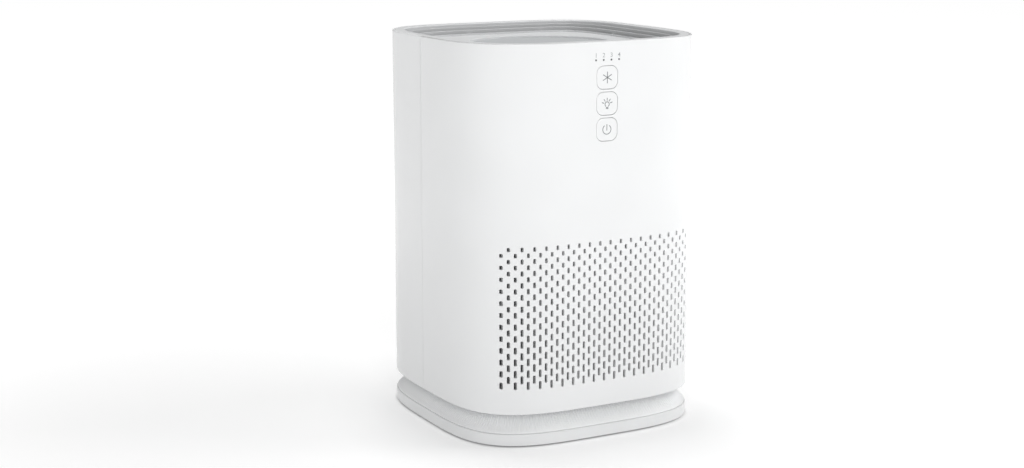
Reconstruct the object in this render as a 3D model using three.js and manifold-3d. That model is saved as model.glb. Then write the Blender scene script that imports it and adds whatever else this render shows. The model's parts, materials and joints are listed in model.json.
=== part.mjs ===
// A compact tower air purifier, in millimetres, +Z up, with its front facing -Y.
// The origin is on the floor, under the middle of the body.
// Air enters the perforated lower walls, passes inwards through a round filter cartridge, is drawn up
// by a centrifugal fan and leaves through concentric slots in the top.

import * as THREE from 'three';
import { mergeGeometries, mergeVertices } from 'three/addons/utils/BufferGeometryUtils.js';
import Module from 'manifold-3d';

const wasm = await Module();
wasm.setup();

// ---------------------------------------------------------------- driving dimensions

// The gap that is left between two pieces that touch, and round a piece in its window.
const gap = 0.3;

// The casing: its plan is a superellipse, split across the middle into two half shells.
const body = { width: 227, depth: 226, power: 3.7, height: 307, wall: 2.5, seamY: 3 };

// The base: a tray on rubber feet, with a sloping night-light ring between it and the casing.
const base = { footProud: 1.2, plateHeight: 10, floor: 2.5, rim: 8, neckHeight: 16.8 };
const foot = { radius: 8, depth: 1.5, inset: 33.5 };
const lightRing = { footInset: 1, footLip: 0.8, topInset: 17.5, wall: 2.4 };
const ledRing = { inset: 12, width: 10, board: 1.6, height: 5, count: 12 };
const baseScrew = {
  inset: 51.5, shaft: 1.5, head: 3.6, headRecess: 2.3, headHeight: 2.7, pillar: 6, boss: 5, bossCap: 3,
  grip: 7,
};

// The perforations: columns of upright slots in front, shorter towards the top, and long ones behind.
const perforation = { margin: 22, aboveBottom: 25 };
const frontSlot = { pitchX: 10, pitchZ: 10, width: 2.2, bottomHeight: 6.8, topHeight: 3.8 };
const rearSlot = { pitchX: 10, pitchZ: 24, width: 2.6, bottomHeight: 18, topHeight: 18 };

// The control panel down the middle of the front, measured from the rim of the casing.
const button = { width: 19.6, height: 18.8, corner: 6, spacing: 2.55, topDrop: 20.1, travel: 0.8, stem: 3 };
const buttonFlange = { side: 2.7, thickness: 1, height: 14 };
const lamp = { count: 4, pitch: 7.3, drop: 15.1, radius: 0.9, clearance: 0.25 };
const controlBoard = { width: 33, thickness: 1.6, setback: 8.8, below: 12, above: 3.4 };
const boardScrew = { radius: 1, head: 2.3, headHeight: 1.4, boss: 2.6, x: 13.9, grip: 4 };

// The outlet in the top: a flat rim, two ring blades, and a sunk deck with a round disc in it.
const outlet = {
  rim: 11, rimDepth: 3, skirt: 1.5, blade: 1.2, slot: 5.3, stepDown: 2.3, lastStep: 0.5, bladeDepth: 7,
  ribs: 8, ribHalf: 1, ribHeight: 2.2, ribTurn: 15,
};
const deck = { drop: 9, thickness: 2, lip: 1.3, discRadius: 62, discDrop: 1.8, ledge: 4 };

// The fan section hangs from the top, and the filter chamber takes the height that is left.
const fan = { sectionHeight: 161, deck: 3, lipWall: 2, bellHeight: 8, ductClearance: 16.5 };
const duct = { wall: 2, flareHeight: 34, mouthInset: 11.5, ledge: 4, ledgeHeight: 61 };
const impeller = {
  tipGap: 16, eyeReach: 26, eyeGap: 4, bladeHeight: 30, plate: 2, lift: 9.5, blades: 9, bladeWall: 1.6,
  bladeSweep: 0.75, hub: 10, hubHeight: 12,
};
const motor = {
  radius: 30, height: 30, shaft: 3, bearing: 8, bearingHeight: 5,
  nut: 6.5, nutHeight: 5, shaftPastNut: 3, shaftBelowTop: 2,
  ear: 6, earTip: 3, earHalf: 4, earHeight: 2.5, screw: 1.3, screwHead: 2.4, screwHeadHeight: 1.8,
};
const pod = { clearance: 1, wall: 2, floor: 3, gapBelow: 4, height: 40, vanes: 8, vaneHeight: 22 };

// The filter cartridge stands on the chassis and is locked by a short turn under three hooks.
const chassis = { thickness: 3, clearance: 0.5 };
const filter = {
  clearance: 37, cap: 3, capRim: 2, capRimHeight: 9, gasket: 5.5, gasketWidth: 12, gasketInset: 4,
};
const pleat = { count: 40, depth: 21, paper: 1.6, room: 0.4 };
const carbon = { wall: 7, room: 1 };
const sleeve = { wall: 1.4 };
const hook = { count: 3, tabReach: 4, tabWidth: 14, tabHeight: 2.5, tabLift: 2, wall: 2.5, play: 0.7 };
const pullTab = { width: 24, length: 12, thickness: 2, slot: 5, strap: 5 };

// The rear cover is held at the top by magnets that face steel keepers.
const magnet = { radius: 3.5, thickness: 3, drop: 31, pad: 10, padBack: 3, reach: 9.5 };
const interlock = { width: 6, length: 12, height: 9, y: 56, setback: 11, rib: 4 };

// Electrical parts.
const inlet = {
  width: 9, height: 7, length: 13, back: 3, bore: 2.75, pin: 1, hole: 3.2, rise: 6.2, room: 4,
};
const mainBoard = { width: 96, depth: 64, thickness: 1.6, standoff: 3.4, y: -4, postInset: 5 };
const capacitor = { radius: 6, height: 13, xs: [-30, -14], y: 8 };
const coil = { x: 12, y: 8, half: 8, height: 9 };
const chip = { x: -2, y: -12, half: 6, height: 1.2 };
const boardSocket = { x: 36, halfWidth: 5, edge: 3, depth: 6, height: 4 };
const tactSwitch = { size: 6, body: 1.6, plunger: 1.5 };
const lead = { radius: 1.5, insetX: 43.5, insetY: 32, clearance: 1.2, aboveLedge: 24, bend: 16 };

// ---------------------------------------------------------------- levels and derived sizes

const halfWidth = body.width / 2;
const halfDepth = body.depth / 2;
const shortHalf = Math.min(halfWidth, halfDepth);

const plateTop = base.footProud + base.plateHeight;
const trayFloor = base.footProud + base.floor;
const bodyBottom = plateTop + base.neckHeight;
const rimTop = bodyBottom + body.height;
const chassisBottom = bodyBottom + gap;
const chassisTop = chassisBottom + chassis.thickness;
const fanDeckBottom = rimTop - fan.sectionHeight;
const fanDeckTop = fanDeckBottom + fan.deck;
const filterBottom = chassisTop + gap;
const filterTop = fanDeckBottom - gap - filter.gasket - gap;
const filterHeight = filterTop - filterBottom;
const filterRadius = shortHalf - body.wall - filter.clearance;
const ductRadius = shortHalf - body.wall - fan.ductClearance;
const ductInner = ductRadius - duct.wall;
const impellerRadius = ductInner - impeller.tipGap;
const eyeRadius = impellerRadius - impeller.eyeReach;
const earRadius = motor.radius + motor.ear;
const podRadius = earRadius + motor.earTip + pod.clearance + pod.wall;
const podBottom = impeller.lift + impeller.plate + impeller.bladeHeight + impeller.plate + pod.gapBelow;
const motorBottom = podBottom + pod.floor + gap;
const deckTop = rimTop - deck.drop;
const panelY = -halfDepth;
const boardFrontY = panelY + controlBoard.setback;
const firstButtonZ = rimTop - button.topDrop - button.height / 2;
const buttonPitch = button.height + button.spacing;
const lampZ = rimTop - lamp.drop;
const leadX = halfWidth - lead.insetX;
const leadY = halfDepth - lead.insetY;

// ---------------------------------------------------------------- materials

function material(color, roughness, metalness = 0) {
  return new THREE.MeshStandardMaterial({ color, roughness, metalness });
}

const materials = {
  casing: material('#eceeee', 0.35),
  diffuser: material('#dfe2e2', 0.5),
  keys: material('#eceeee', 0.38),
  grille: material('#e4e6e6', 0.42),
  disc: material('#c9cccd', 0.5),
  frame: material('#5a5d60', 0.6),
  duct: material('#3f4245', 0.6),
  rotor: material('#2d2f32', 0.5),
  steel: material('#a9adb0', 0.3, 0.9),
  motorCan: material('#8e9295', 0.4, 0.8),
  copperBoard: material('#1f5b3a', 0.6),
  blackPart: material('#1b1c1e', 0.5),
  rubber: material('#2a2b2c', 0.9),
  filterCap: material('#d8dadb', 0.6),
  paper: material('#f1f0ea', 0.95),
  carbonMesh: material('#26282a', 0.95),
  sleeveMesh: material('#8d9194', 0.95),
  foam: material('#3a3b3d', 1),
  lampLens: material('#8b8f92', 0.3),
};

// ---------------------------------------------------------------- solids

// The number of flat sides that stand for a large circle, a middling one, a small one and a pin.
const roundSides = 30;
const middleSides = 24;
const smallSides = 16;
const pinSides = 8;

// How far two joined solids run into each other.
const lap = 0.5;

// A three.js geometry as a solid that can be cut and joined.
function solid(geometry) {
  const bare = geometry.index ? geometry.toNonIndexed() : geometry.clone();
  bare.deleteAttribute('normal');
  bare.deleteAttribute('uv');
  const merged = mergeVertices(bare, 1e-4);
  return new wasm.Manifold(new wasm.Mesh({
    numProp: 3,
    vertProperties: merged.attributes.position.array,
    triVerts: new Uint32Array(merged.index.array),
  }));
}

function join(first, ...others) {
  return others.reduce((whole, piece) => whole.add(piece), first);
}

function cut(first, ...cutters) {
  return cutters.reduce((rest, cutter) => rest.subtract(cutter), first);
}

function geometryOf(piece) {
  const { vertProperties, triVerts } = piece.getMesh();
  const geometry = new THREE.BufferGeometry();
  geometry.setAttribute('position', new THREE.BufferAttribute(vertProperties, 3));
  geometry.setIndex(new THREE.BufferAttribute(triVerts, 1));
  geometry.computeVertexNormals();
  return geometry;
}

// A box between two corners.
function boxGeometry(x0, y0, z0, x1, y1, z1) {
  const geometry = new THREE.BoxGeometry(x1 - x0, y1 - y0, z1 - z0);
  return geometry.translate((x0 + x1) / 2, (y0 + y1) / 2, (z0 + z1) / 2);
}

function box(x0, y0, z0, x1, y1, z1) {
  return solid(boxGeometry(x0, y0, z0, x1, y1, z1));
}

// An upright round bar at x, y.
function bar(radius, z0, z1, x = 0, y = 0, sides = 12) {
  const geometry = new THREE.CylinderGeometry(radius, radius, z1 - z0, sides);
  return solid(geometry.rotateX(Math.PI / 2).translate(x, y, (z0 + z1) / 2));
}

// A round bar that runs along Y at x, z.
function barAlongY(radius, y0, y1, x, z, sides = 12) {
  const geometry = new THREE.CylinderGeometry(radius, radius, y1 - y0, sides);
  return solid(geometry.translate(x, (y0 + y1) / 2, z));
}

// An upright round tube.
function tube(outer, inner, z0, z1, sides = roundSides) {
  return cut(bar(outer, z0, z1, 0, 0, sides), bar(inner, z0 - 1, z1 + 1, 0, 0, sides));
}

// A closed outline of points, raised from z0 to z1.
function raised(points, z0, z1) {
  const options = { depth: z1 - z0, bevelEnabled: false };
  return solid(new THREE.ExtrudeGeometry(new THREE.Shape(points), options).translate(0, 0, z0));
}

// A closed solid through rings of points, from the lowest to the highest, with equal counts.
function loft(rings) {
  const count = rings[0].points.length;
  const positions = rings.flatMap(({ points, z }) => points.flatMap((p) => [p.x, p.y, z]));
  const index = [];
  for (let ring = 0; ring + 1 < rings.length; ring += 1) {
    for (let i = 0; i < count; i += 1) {
      const here = ring * count + i;
      const next = ring * count + ((i + 1) % count);
      index.push(here, next, next + count, here, next + count, here + count);
    }
  }
  const last = (rings.length - 1) * count;
  THREE.ShapeUtils.triangulateShape(rings[0].points, []).forEach(([a, b, c]) => index.push(a, c, b));
  THREE.ShapeUtils.triangulateShape(rings.at(-1).points, [])
    .forEach(([a, b, c]) => index.push(last + a, last + b, last + c));
  const geometry = new THREE.BufferGeometry();
  geometry.setAttribute('position', new THREE.Float32BufferAttribute(positions, 3));
  geometry.setIndex(index);
  return solid(geometry);
}

// Copies of a solid, turned evenly about Z.
function around(count, piece, startDegrees = 0) {
  return Array.from({ length: count }, (_, i) => piece.rotate([0, 0, startDegrees + (360 * i) / count]));
}

// ---------------------------------------------------------------- the plan outline

// The first quadrant of the outline as curve parameters, from the middle of the side to the front.
const evenSteps = 8;
const evenAngles = Array.from({ length: evenSteps + 1 }, (_, i) => (i * Math.PI) / 2 / evenSteps);

// The same, with one flat strip for each column of slots, then even steps round the corner.
function stripAngles() {
  const cornerSteps = 7;
  const strips = [];
  const lastX = halfWidth - perforation.margin + frontSlot.pitchX;
  for (let x = frontSlot.pitchX / 2; x < lastX; x += frontSlot.pitchX) {
    strips.push(Math.acos((x / halfWidth) ** (body.power / 2)));
  }
  const last = strips.at(-1);
  const bend = Array.from({ length: cornerSteps }, (_, i) => (last * i) / cornerSteps);
  return [...bend, ...strips.reverse()];
}

const casingAngles = stripAngles();

// The casing's outline, moved inwards by inset along its normal, anticlockwise from +X.
function outline(inset, angles = evenAngles) {
  const corner = angles.map((angle) => {
    const x = halfWidth * Math.max(0, Math.cos(angle)) ** (2 / body.power);
    const y = halfDepth * Math.sin(angle) ** (2 / body.power);
    const normal = new THREE.Vector2(
      x ** (body.power - 1) / halfWidth ** body.power,
      y ** (body.power - 1) / halfDepth ** body.power,
    ).normalize();
    return new THREE.Vector2(x - inset * normal.x, y - inset * normal.y);
  });
  const mirrored = (sx, sy) => corner.map((p) => new THREE.Vector2(sx * p.x, sy * p.y));
  const loop = [
    ...mirrored(1, 1),
    ...mirrored(-1, 1).reverse(),
    ...mirrored(-1, -1),
    ...mirrored(1, -1).reverse(),
  ];
  return loop.filter((p, i) => p.distanceTo(loop[(i + 1) % loop.length]) > 1e-3);
}

// A circle with the same number of points as the outline, so that the two can be lofted.
const circleSides = 4 * evenSteps;

function circle(radius) {
  return Array.from({ length: circleSides }, (_, i) => {
    const angle = (2 * Math.PI * i) / circleSides;
    return new THREE.Vector2(radius * Math.cos(angle), radius * Math.sin(angle));
  });
}

function slab(inset, z0, z1) {
  return raised(outline(inset), z0, z1);
}

// An upright wall that follows the outline between two insets.
function wallRing(outerInset, innerInset, z0, z1) {
  return cut(slab(outerInset, z0, z1), slab(innerInset, z0 - 1, z1 + 1));
}

// How far back from the outline's front the casing's outer face is at x.
function frontFaceY(x) {
  return -halfDepth * (1 - Math.abs(x / halfWidth) ** body.power) ** (1 / body.power);
}

const corners = [[-1, -1], [1, -1], [-1, 1], [1, 1]];

function cornerName(prefix, sideX, sideY) {
  return `${prefix}_${sideY < 0 ? 'front' : 'rear'}_${sideX < 0 ? 'left' : 'right'}`;
}

const footX = halfWidth - foot.inset;
const footY = halfDepth - foot.inset;
const screwX = halfWidth - baseScrew.inset;
const screwY = halfDepth - baseScrew.inset;

// ---------------------------------------------------------------- the base

const standoffRadius = 2.5;
const screwHeadBottom = trayFloor + baseScrew.headRecess;
const screwHeadTop = screwHeadBottom + baseScrew.headHeight;
const ledRingBottom = trayFloor + ledRing.height;
const mainBoardBottom = trayFloor + mainBoard.standoff + gap;
const inletZ = base.footProud + inlet.rise;
const socketY = mainBoard.y - mainBoard.depth / 2 + boardSocket.edge + boardSocket.depth / 2;
const socketTop = mainBoardBottom + mainBoard.thickness + boardSocket.height;

function basePlate() {
  const tray = cut(
    slab(0, base.footProud, plateTop),
    slab(base.rim, trayFloor, plateTop + 1),
  );
  const pillarTop = chassisBottom - gap;
  const pillars = corners.map(([sx, sy]) =>
    bar(baseScrew.pillar, trayFloor - 1, pillarTop, sx * screwX, sy * screwY));
  const screwHoles = corners.flatMap(([sx, sy]) => [
    bar(baseScrew.head + 2 * gap, 0, screwHeadTop + gap, sx * screwX, sy * screwY),
    bar(baseScrew.shaft + gap, 0, pillarTop + 1, sx * screwX, sy * screwY),
  ]);
  const footPockets = corners.map(([sx, sy]) =>
    bar(foot.radius + gap, 0, base.footProud + foot.depth, sx * footX, sy * footY, smallSides));
  const ringPosts = corners.map(([sx, sy]) => bar(
    standoffRadius, trayFloor - 1, ledRingBottom - gap,
    sx * (halfWidth - ledRing.inset - ledRing.width / 2), sy * standoffRadius * 4,
  ));
  const boardPosts = corners.map(([sx, sy]) => bar(
    standoffRadius, trayFloor - 1, mainBoardBottom - gap,
    sx * (mainBoard.width / 2 - mainBoard.postInset),
    mainBoard.y + sy * (mainBoard.depth / 2 - mainBoard.postInset),
  ));
  const inletHole = barAlongY(inlet.hole, halfDepth - base.rim - 1, halfDepth + 1, 0, inletZ);
  return cut(join(tray, ...pillars, ...ringPosts, ...boardPosts), ...screwHoles, ...footPockets, inletHole);
}

function footPad() {
  return bar(foot.radius, 0, base.footProud + foot.depth - gap, 0, 0, smallSides);
}

function baseScrewSolid() {
  const threadTop = chassisTop + baseScrew.grip;
  return join(
    bar(baseScrew.head, screwHeadBottom, screwHeadTop),
    bar(baseScrew.shaft, screwHeadTop - lap, threadTop, 0, 0, pinSides),
  );
}

function lightRingSolid() {
  const bottom = plateTop + gap;
  const top = bodyBottom - gap;
  const section = (extraInset, stretch) => loft([
    { points: outline(lightRing.footInset + extraInset), z: bottom - stretch },
    { points: outline(lightRing.footInset + extraInset), z: bottom + lightRing.footLip },
    { points: outline(lightRing.topInset + extraInset), z: top + stretch },
  ]);
  return cut(section(0, 0), section(lightRing.wall, 0.01));
}

function ledRingSolid() {
  const top = ledRingBottom + ledRing.board;
  const middleInset = ledRing.inset + ledRing.width / 2;
  const ledSize = { x: 3, y: 2, z: 1 };
  const track = new THREE.Path(outline(middleInset)).getSpacedPoints(ledRing.count).slice(0, -1);
  const leds = track.map((p) => box(
    p.x - ledSize.x / 2, p.y - ledSize.y / 2, top - lap,
    p.x + ledSize.x / 2, p.y + ledSize.y / 2, top + ledSize.z,
  ));
  const board = join(wallRing(ledRing.inset, ledRing.inset + ledRing.width, ledRingBottom, top), ...leds);
  const inletRoom = inlet.width / 2 + inlet.room;
  return cut(board, box(-inletRoom, 0, 0, inletRoom, halfDepth, bodyBottom));
}

function mainBoardSolid() {
  const bottom = mainBoardBottom;
  const top = bottom + mainBoard.thickness;
  const halfX = mainBoard.width / 2;
  const y0 = mainBoard.y - mainBoard.depth / 2;
  const board = box(-halfX, y0, bottom, halfX, y0 + mainBoard.depth, top);
  const seat = top - lap;
  const blockOnBoard = ({ x, y, half, height }) =>
    box(x - half, y - half, seat, x + half, y + half, top + height);
  const capacitors = capacitor.xs.map((x) =>
    bar(capacitor.radius, seat, top + capacitor.height, x, capacitor.y));
  const sockets = [-1, 1].map((side) => box(
    side * boardSocket.x - boardSocket.halfWidth, socketY - boardSocket.depth / 2, seat,
    side * boardSocket.x + boardSocket.halfWidth, socketY + boardSocket.depth / 2, top + boardSocket.height,
  ));
  return join(board, ...capacitors, blockOnBoard(coil), blockOnBoard(chip), ...sockets);
}

function inletSolid() {
  const frontY = halfDepth - base.rim - gap;
  const backY = frontY - inlet.length;
  const shell = box(
    -inlet.width / 2, backY, inletZ - inlet.height / 2,
    inlet.width / 2, frontY, inletZ + inlet.height / 2,
  );
  const bore = barAlongY(inlet.bore, backY + inlet.back, frontY + 1, 0, inletZ);
  const pin = barAlongY(inlet.pin, backY + 1, frontY - 1, 0, inletZ, pinSides);
  return join(cut(shell, bore), pin);
}

// ---------------------------------------------------------------- the chassis and the filter

const capRadius = filterRadius;
const tabRadius = capRadius + hook.tabReach;
const tabBottom = filterBottom + hook.tabLift;
const hookAngles = { start: 30, tabHalf: hook.tabWidth / 2 };

// A hook that stands outside a tab, roofs it over and stops it from turning the wrong way.
function hookSolid() {
  const innerFace = tabRadius + hook.play;
  const outerFace = innerFace + hook.wall;
  const roofBottom = tabBottom + hook.tabHeight + hook.play;
  const stopFace = -hookAngles.tabHalf - hook.play;
  const top = roofBottom + hook.wall;
  return join(
    box(innerFace, stopFace - hook.wall, chassisTop - 1, outerFace, hookAngles.tabHalf, top),
    box(capRadius + hook.play, stopFace - hook.wall, roofBottom, outerFace, hookAngles.tabHalf, top),
    box(capRadius + hook.play, stopFace - hook.wall, chassisTop - 1, outerFace, stopFace, top),
  );
}

function chassisSolid() {
  const edge = body.wall + chassis.clearance;
  const floor = slab(edge, chassisBottom, chassisTop);
  const bossTop = chassisTop + baseScrew.grip + baseScrew.bossCap;
  const bosses = corners.map(([sx, sy]) =>
    bar(baseScrew.boss, chassisTop - 1, bossTop, sx * screwX, sy * screwY));
  const screwHoles = corners.map(([sx, sy]) => bar(
    baseScrew.shaft + gap, chassisBottom - 1, chassisTop + baseScrew.grip + gap, sx * screwX, sy * screwY,
  ));
  const hooks = around(hook.count, hookSolid(), hookAngles.start);
  const holes = [...screwHoles, ...leadHoles(chassisBottom - 1, chassisTop + 1)];
  return cut(join(floor, ...bosses, ...hooks), ...holes);
}

// Holes for the two leads that run down the front corners.
function leadHoles(z0, z1) {
  return [-1, 1].map((side) => bar(lead.radius + lead.clearance, z0, z1, side * leadX, -leadY));
}

function interlockSolid() {
  const x1 = halfWidth - body.wall - interlock.setback;
  const x0 = x1 - interlock.width;
  return box(
    x0, interlock.y - interlock.length / 2, chassisTop + gap,
    x1, interlock.y + interlock.length / 2, chassisTop + gap + interlock.height,
  );
}

// The lower cap: a dish with the three locking tabs on its rim.
function filterBottomCap() {
  const dish = cut(
    bar(capRadius, 0, filter.capRimHeight, 0, 0, roundSides),
    bar(capRadius - filter.capRim, filter.cap, filter.capRimHeight + 1, 0, 0, roundSides),
  );
  const tab = box(
    capRadius - filter.capRim, -hookAngles.tabHalf, hook.tabLift,
    tabRadius, hookAngles.tabHalf, hook.tabLift + hook.tabHeight,
  );
  return join(dish, ...around(hook.count, tab, hookAngles.start));
}

function carbonOuterRadius() {
  return capRadius - filter.capRim - gap - sleeve.wall - pleat.depth - carbon.room;
}

// The upper cap: an open ring, so that clean air can leave up the middle.
function filterTopCap() {
  const eye = carbonOuterRadius() - carbon.wall;
  const disc = bar(capRadius, filterHeight - filter.capRimHeight, filterHeight, 0, 0, roundSides);
  const dish = bar(
    capRadius - filter.capRim, filterHeight - filter.capRimHeight - 1, filterHeight - filter.cap,
    0, 0, roundSides,
  );
  return cut(disc, dish, bar(eye, 0, filterHeight + 1, 0, 0, roundSides));
}

// A folded paper ring: two zigzag outlines that stay one paper thickness apart.
function pleatedPaper() {
  const outer = capRadius - filter.capRim - gap - sleeve.wall - pleat.room;
  const inner = outer - pleat.depth;
  const zigzag = (shift) => Array.from({ length: pleat.count * 2 }, (_, i) => {
    const angle = (Math.PI * i) / pleat.count;
    const radius = (i % 2 ? inner : outer) + shift;
    return new THREE.Vector2(radius * Math.cos(angle), radius * Math.sin(angle));
  });
  const z0 = filter.cap + gap;
  const z1 = filterHeight - filter.cap - gap;
  return cut(raised(zigzag(0), z0, z1), raised(zigzag(-pleat.paper), z0 - 1, z1 + 1));
}

function carbonCore() {
  const outer = carbonOuterRadius() - pleat.paper;
  return tube(outer, outer - carbon.wall, filter.cap + gap, filterHeight - filter.cap - gap);
}

function prefilterSleeve() {
  const outer = capRadius - filter.capRim / 2;
  const capRoom = filter.capRimHeight + gap;
  return tube(outer, outer - sleeve.wall, capRoom, filterHeight - capRoom);
}

function filterGasket() {
  const outer = capRadius - filter.gasketInset;
  const bottom = filterHeight + gap;
  return tube(outer, outer - filter.gasketWidth, bottom, bottom + filter.gasket);
}

// A loop of strap behind the lower cap.
function pullTabSolid() {
  const half = pullTab.width / 2;
  const y0 = capRadius + gap;
  const y1 = y0 + pullTab.length;
  const slotHalf = half - pullTab.strap;
  const slotY = (y0 + y1) / 2;
  return cut(
    box(-half, y0, filter.cap, half, y1, filter.cap + pullTab.thickness),
    box(-slotHalf, slotY - pullTab.slot / 2, 0, slotHalf, slotY + pullTab.slot / 2, filter.capRimHeight),
  );
}

// ---------------------------------------------------------------- the casing

function wholeCasing() {
  return cut(
    raised(outline(0, casingAngles), bodyBottom, rimTop),
    raised(outline(body.wall, casingAngles), bodyBottom - 1, rimTop + 1),
  );
}

function halfSpace(side) {
  const far = body.width + body.depth;
  const near = body.seamY + (side * gap) / 2;
  const [y0, y1] = side < 0 ? [-far, near] : [near, far];
  return box(-far, y0, -1, far, y1, rimTop + far);
}

const lowestSlotZ = bodyBottom + perforation.aboveBottom;

// One cutter for all the slots of the front (side -1) or the rear (side 1), up to the fan deck.
function slotCutter(slot, side) {
  const lastColumn = Math.floor((halfWidth - perforation.margin) / slot.pitchX);
  const rows = Math.floor((fanDeckBottom - lowestSlotZ) / slot.pitchZ);
  const reach = halfDepth / 8;
  const slots = [];
  for (let column = -lastColumn; column <= lastColumn; column += 1) {
    const x = column * slot.pitchX;
    const y = -side * frontFaceY(x);
    for (let row = 0; row < rows; row += 1) {
      const height = slot.bottomHeight + (row / (rows - 1)) * (slot.topHeight - slot.bottomHeight);
      const z = lowestSlotZ + (slot.bottomHeight - frontSlot.bottomHeight) / 2 + row * slot.pitchZ;
      slots.push(boxGeometry(
        x - slot.width / 2, y - reach, z - height / 2,
        x + slot.width / 2, y + reach, z + height / 2,
      ));
    }
  }
  return solid(mergeGeometries(slots));
}

// A key's face in the X-Z plane, grown by extra all round and raised along Y.
function keyAlongY(extra, y0, y1, z) {
  const corner = button.corner + extra;
  const straightX = button.width / 2 - button.corner;
  const straightZ = button.height / 2 - button.corner;
  const shape = new THREE.Shape();
  shape.moveTo(straightX, -straightZ - corner);
  shape.absarc(straightX, -straightZ, corner, -Math.PI / 2, 0);
  shape.absarc(straightX, straightZ, corner, 0, Math.PI / 2);
  shape.absarc(-straightX, straightZ, corner, Math.PI / 2, Math.PI);
  shape.absarc(-straightX, -straightZ, corner, Math.PI, 1.5 * Math.PI);
  const options = { depth: y1 - y0, bevelEnabled: false, curveSegments: 4 };
  return solid(new THREE.ExtrudeGeometry(shape, options).rotateX(Math.PI / 2).translate(0, y1, z));
}

const buttonHeights = [0, 1, 2].map((i) => firstButtonZ - i * buttonPitch);
const lampPlaces = Array.from({ length: lamp.count }, (_, i) => (i - (lamp.count - 1) / 2) * lamp.pitch);
const boardScrewZ = (buttonHeights[0] + buttonHeights[1]) / 2;

const magnetZ = rimTop - magnet.drop;
const padOuterX = halfWidth - body.wall + lap;
const padInnerX = padOuterX - magnet.reach;
const magnetX = (padInnerX + padOuterX) / 2;

// A block inside the casing's side that holds a magnet or a keeper, with its pocket at the seam.
function magnetPads(side) {
  const face = body.seamY + (side * gap) / 2;
  const back = face + side * (magnet.thickness + magnet.padBack);
  const floorY = face + side * (magnet.thickness + 2 * gap);
  return [-1, 1].map((sx) => {
    const [x0, x1] = sx < 0 ? [-padOuterX, -padInnerX] : [padInnerX, padOuterX];
    const pad = box(
      x0, Math.min(face, back), magnetZ - magnet.pad / 2,
      x1, Math.max(face, back), magnetZ + magnet.pad / 2,
    );
    const beyond = face - side;
    const pocket = barAlongY(
      magnet.radius + gap, Math.min(beyond, floorY), Math.max(beyond, floorY), sx * magnetX, magnetZ,
    );
    return cut(pad, pocket);
  });
}

function magnetDisc(side, sx) {
  const face = body.seamY + (side * gap) / 2;
  const near = face + side * gap;
  const far = near + side * magnet.thickness;
  return barAlongY(magnet.radius, Math.min(near, far), Math.max(near, far), sx * magnetX, magnetZ);
}

function frontShell() {
  const shell = wholeCasing().intersect(halfSpace(-1));
  const windows = buttonHeights.map((z) => keyAlongY(gap, panelY - 1, panelY + body.wall + 1, z));
  const lampHoles = lampPlaces.map((x) => barAlongY(
    lamp.radius + lamp.clearance, panelY - 1, panelY + body.wall + 1, x, lampZ, pinSides,
  ));
  const bosses = [-1, 1].map((sx) => barAlongY(
    boardScrew.boss, panelY + body.wall - lap, boardFrontY - gap, sx * boardScrew.x, boardScrewZ,
  ));
  const screwHoles = [-1, 1].map((sx) => barAlongY(
    boardScrew.radius + gap, boardFrontY - boardScrew.grip - gap, boardFrontY + 1,
    sx * boardScrew.x, boardScrewZ, pinSides,
  ));
  const solidShell = join(shell, ...bosses, ...magnetPads(-1));
  return cut(solidShell, slotCutter(frontSlot, -1), ...windows, ...lampHoles, ...screwHoles);
}

function rearCover() {
  const shell = wholeCasing().intersect(halfSpace(1));
  const ribX0 = halfWidth - body.wall - interlock.setback + gap;
  const ribZ = chassisTop + gap + interlock.height / 2;
  const rib = box(
    ribX0, interlock.y - interlock.rib / 2, ribZ - interlock.rib / 2,
    halfWidth - body.wall + lap, interlock.y + interlock.rib / 2, ribZ + interlock.rib / 2,
  );
  const ribInside = rib.intersect(slab(body.wall / 2, bodyBottom, rimTop));
  return cut(join(shell, ribInside, ...magnetPads(1)), slotCutter(rearSlot, 1));
}

// ---------------------------------------------------------------- the control panel

function buttonSolid() {
  const backFace = panelY + body.wall;
  const flangeHalf = button.width / 2 + buttonFlange.side;
  const flangeY = backFace + gap;
  const cap = keyAlongY(0, panelY, flangeY + lap, 0);
  const flange = box(
    -flangeHalf, flangeY, -buttonFlange.height / 2,
    flangeHalf, flangeY + buttonFlange.thickness, buttonFlange.height / 2,
  );
  const stemEnd = boardFrontY - gap - tactSwitch.body - tactSwitch.plunger / 2 - button.travel - gap;
  return join(cap, flange, barAlongY(button.stem, flangeY, stemEnd, 0, 0));
}

function tactSwitchSolid() {
  const half = tactSwitch.size / 2;
  const back = boardFrontY - gap;
  const front = back - tactSwitch.body;
  return join(
    box(-half, front, -half, half, back, half),
    barAlongY(half / 2, front - tactSwitch.plunger / 2, front + lap, 0, 0, pinSides),
  );
}

function lightPipe() {
  return barAlongY(lamp.radius, panelY, boardFrontY - gap, 0, 0, pinSides);
}

function controlBoardSolid() {
  const half = controlBoard.width / 2;
  const z0 = buttonHeights.at(-1) - controlBoard.below;
  const z1 = lampZ + controlBoard.above;
  const backY = boardFrontY + controlBoard.thickness;
  const board = box(-half, boardFrontY, z0, half, backY, z1);
  const screwHoles = [-1, 1].map((sx) => barAlongY(
    boardScrew.radius + gap, boardFrontY - 1, backY + 1, sx * boardScrew.x, boardScrewZ, pinSides,
  ));
  return cut(board, ...screwHoles);
}

function boardScrewSolid() {
  const headY = boardFrontY + controlBoard.thickness + gap;
  return join(
    barAlongY(boardScrew.head, headY, headY + boardScrew.headHeight, 0, 0),
    barAlongY(boardScrew.radius, boardFrontY - boardScrew.grip, headY + lap, 0, 0, pinSides),
  );
}

// ---------------------------------------------------------------- the fan section, from its deck up

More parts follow.
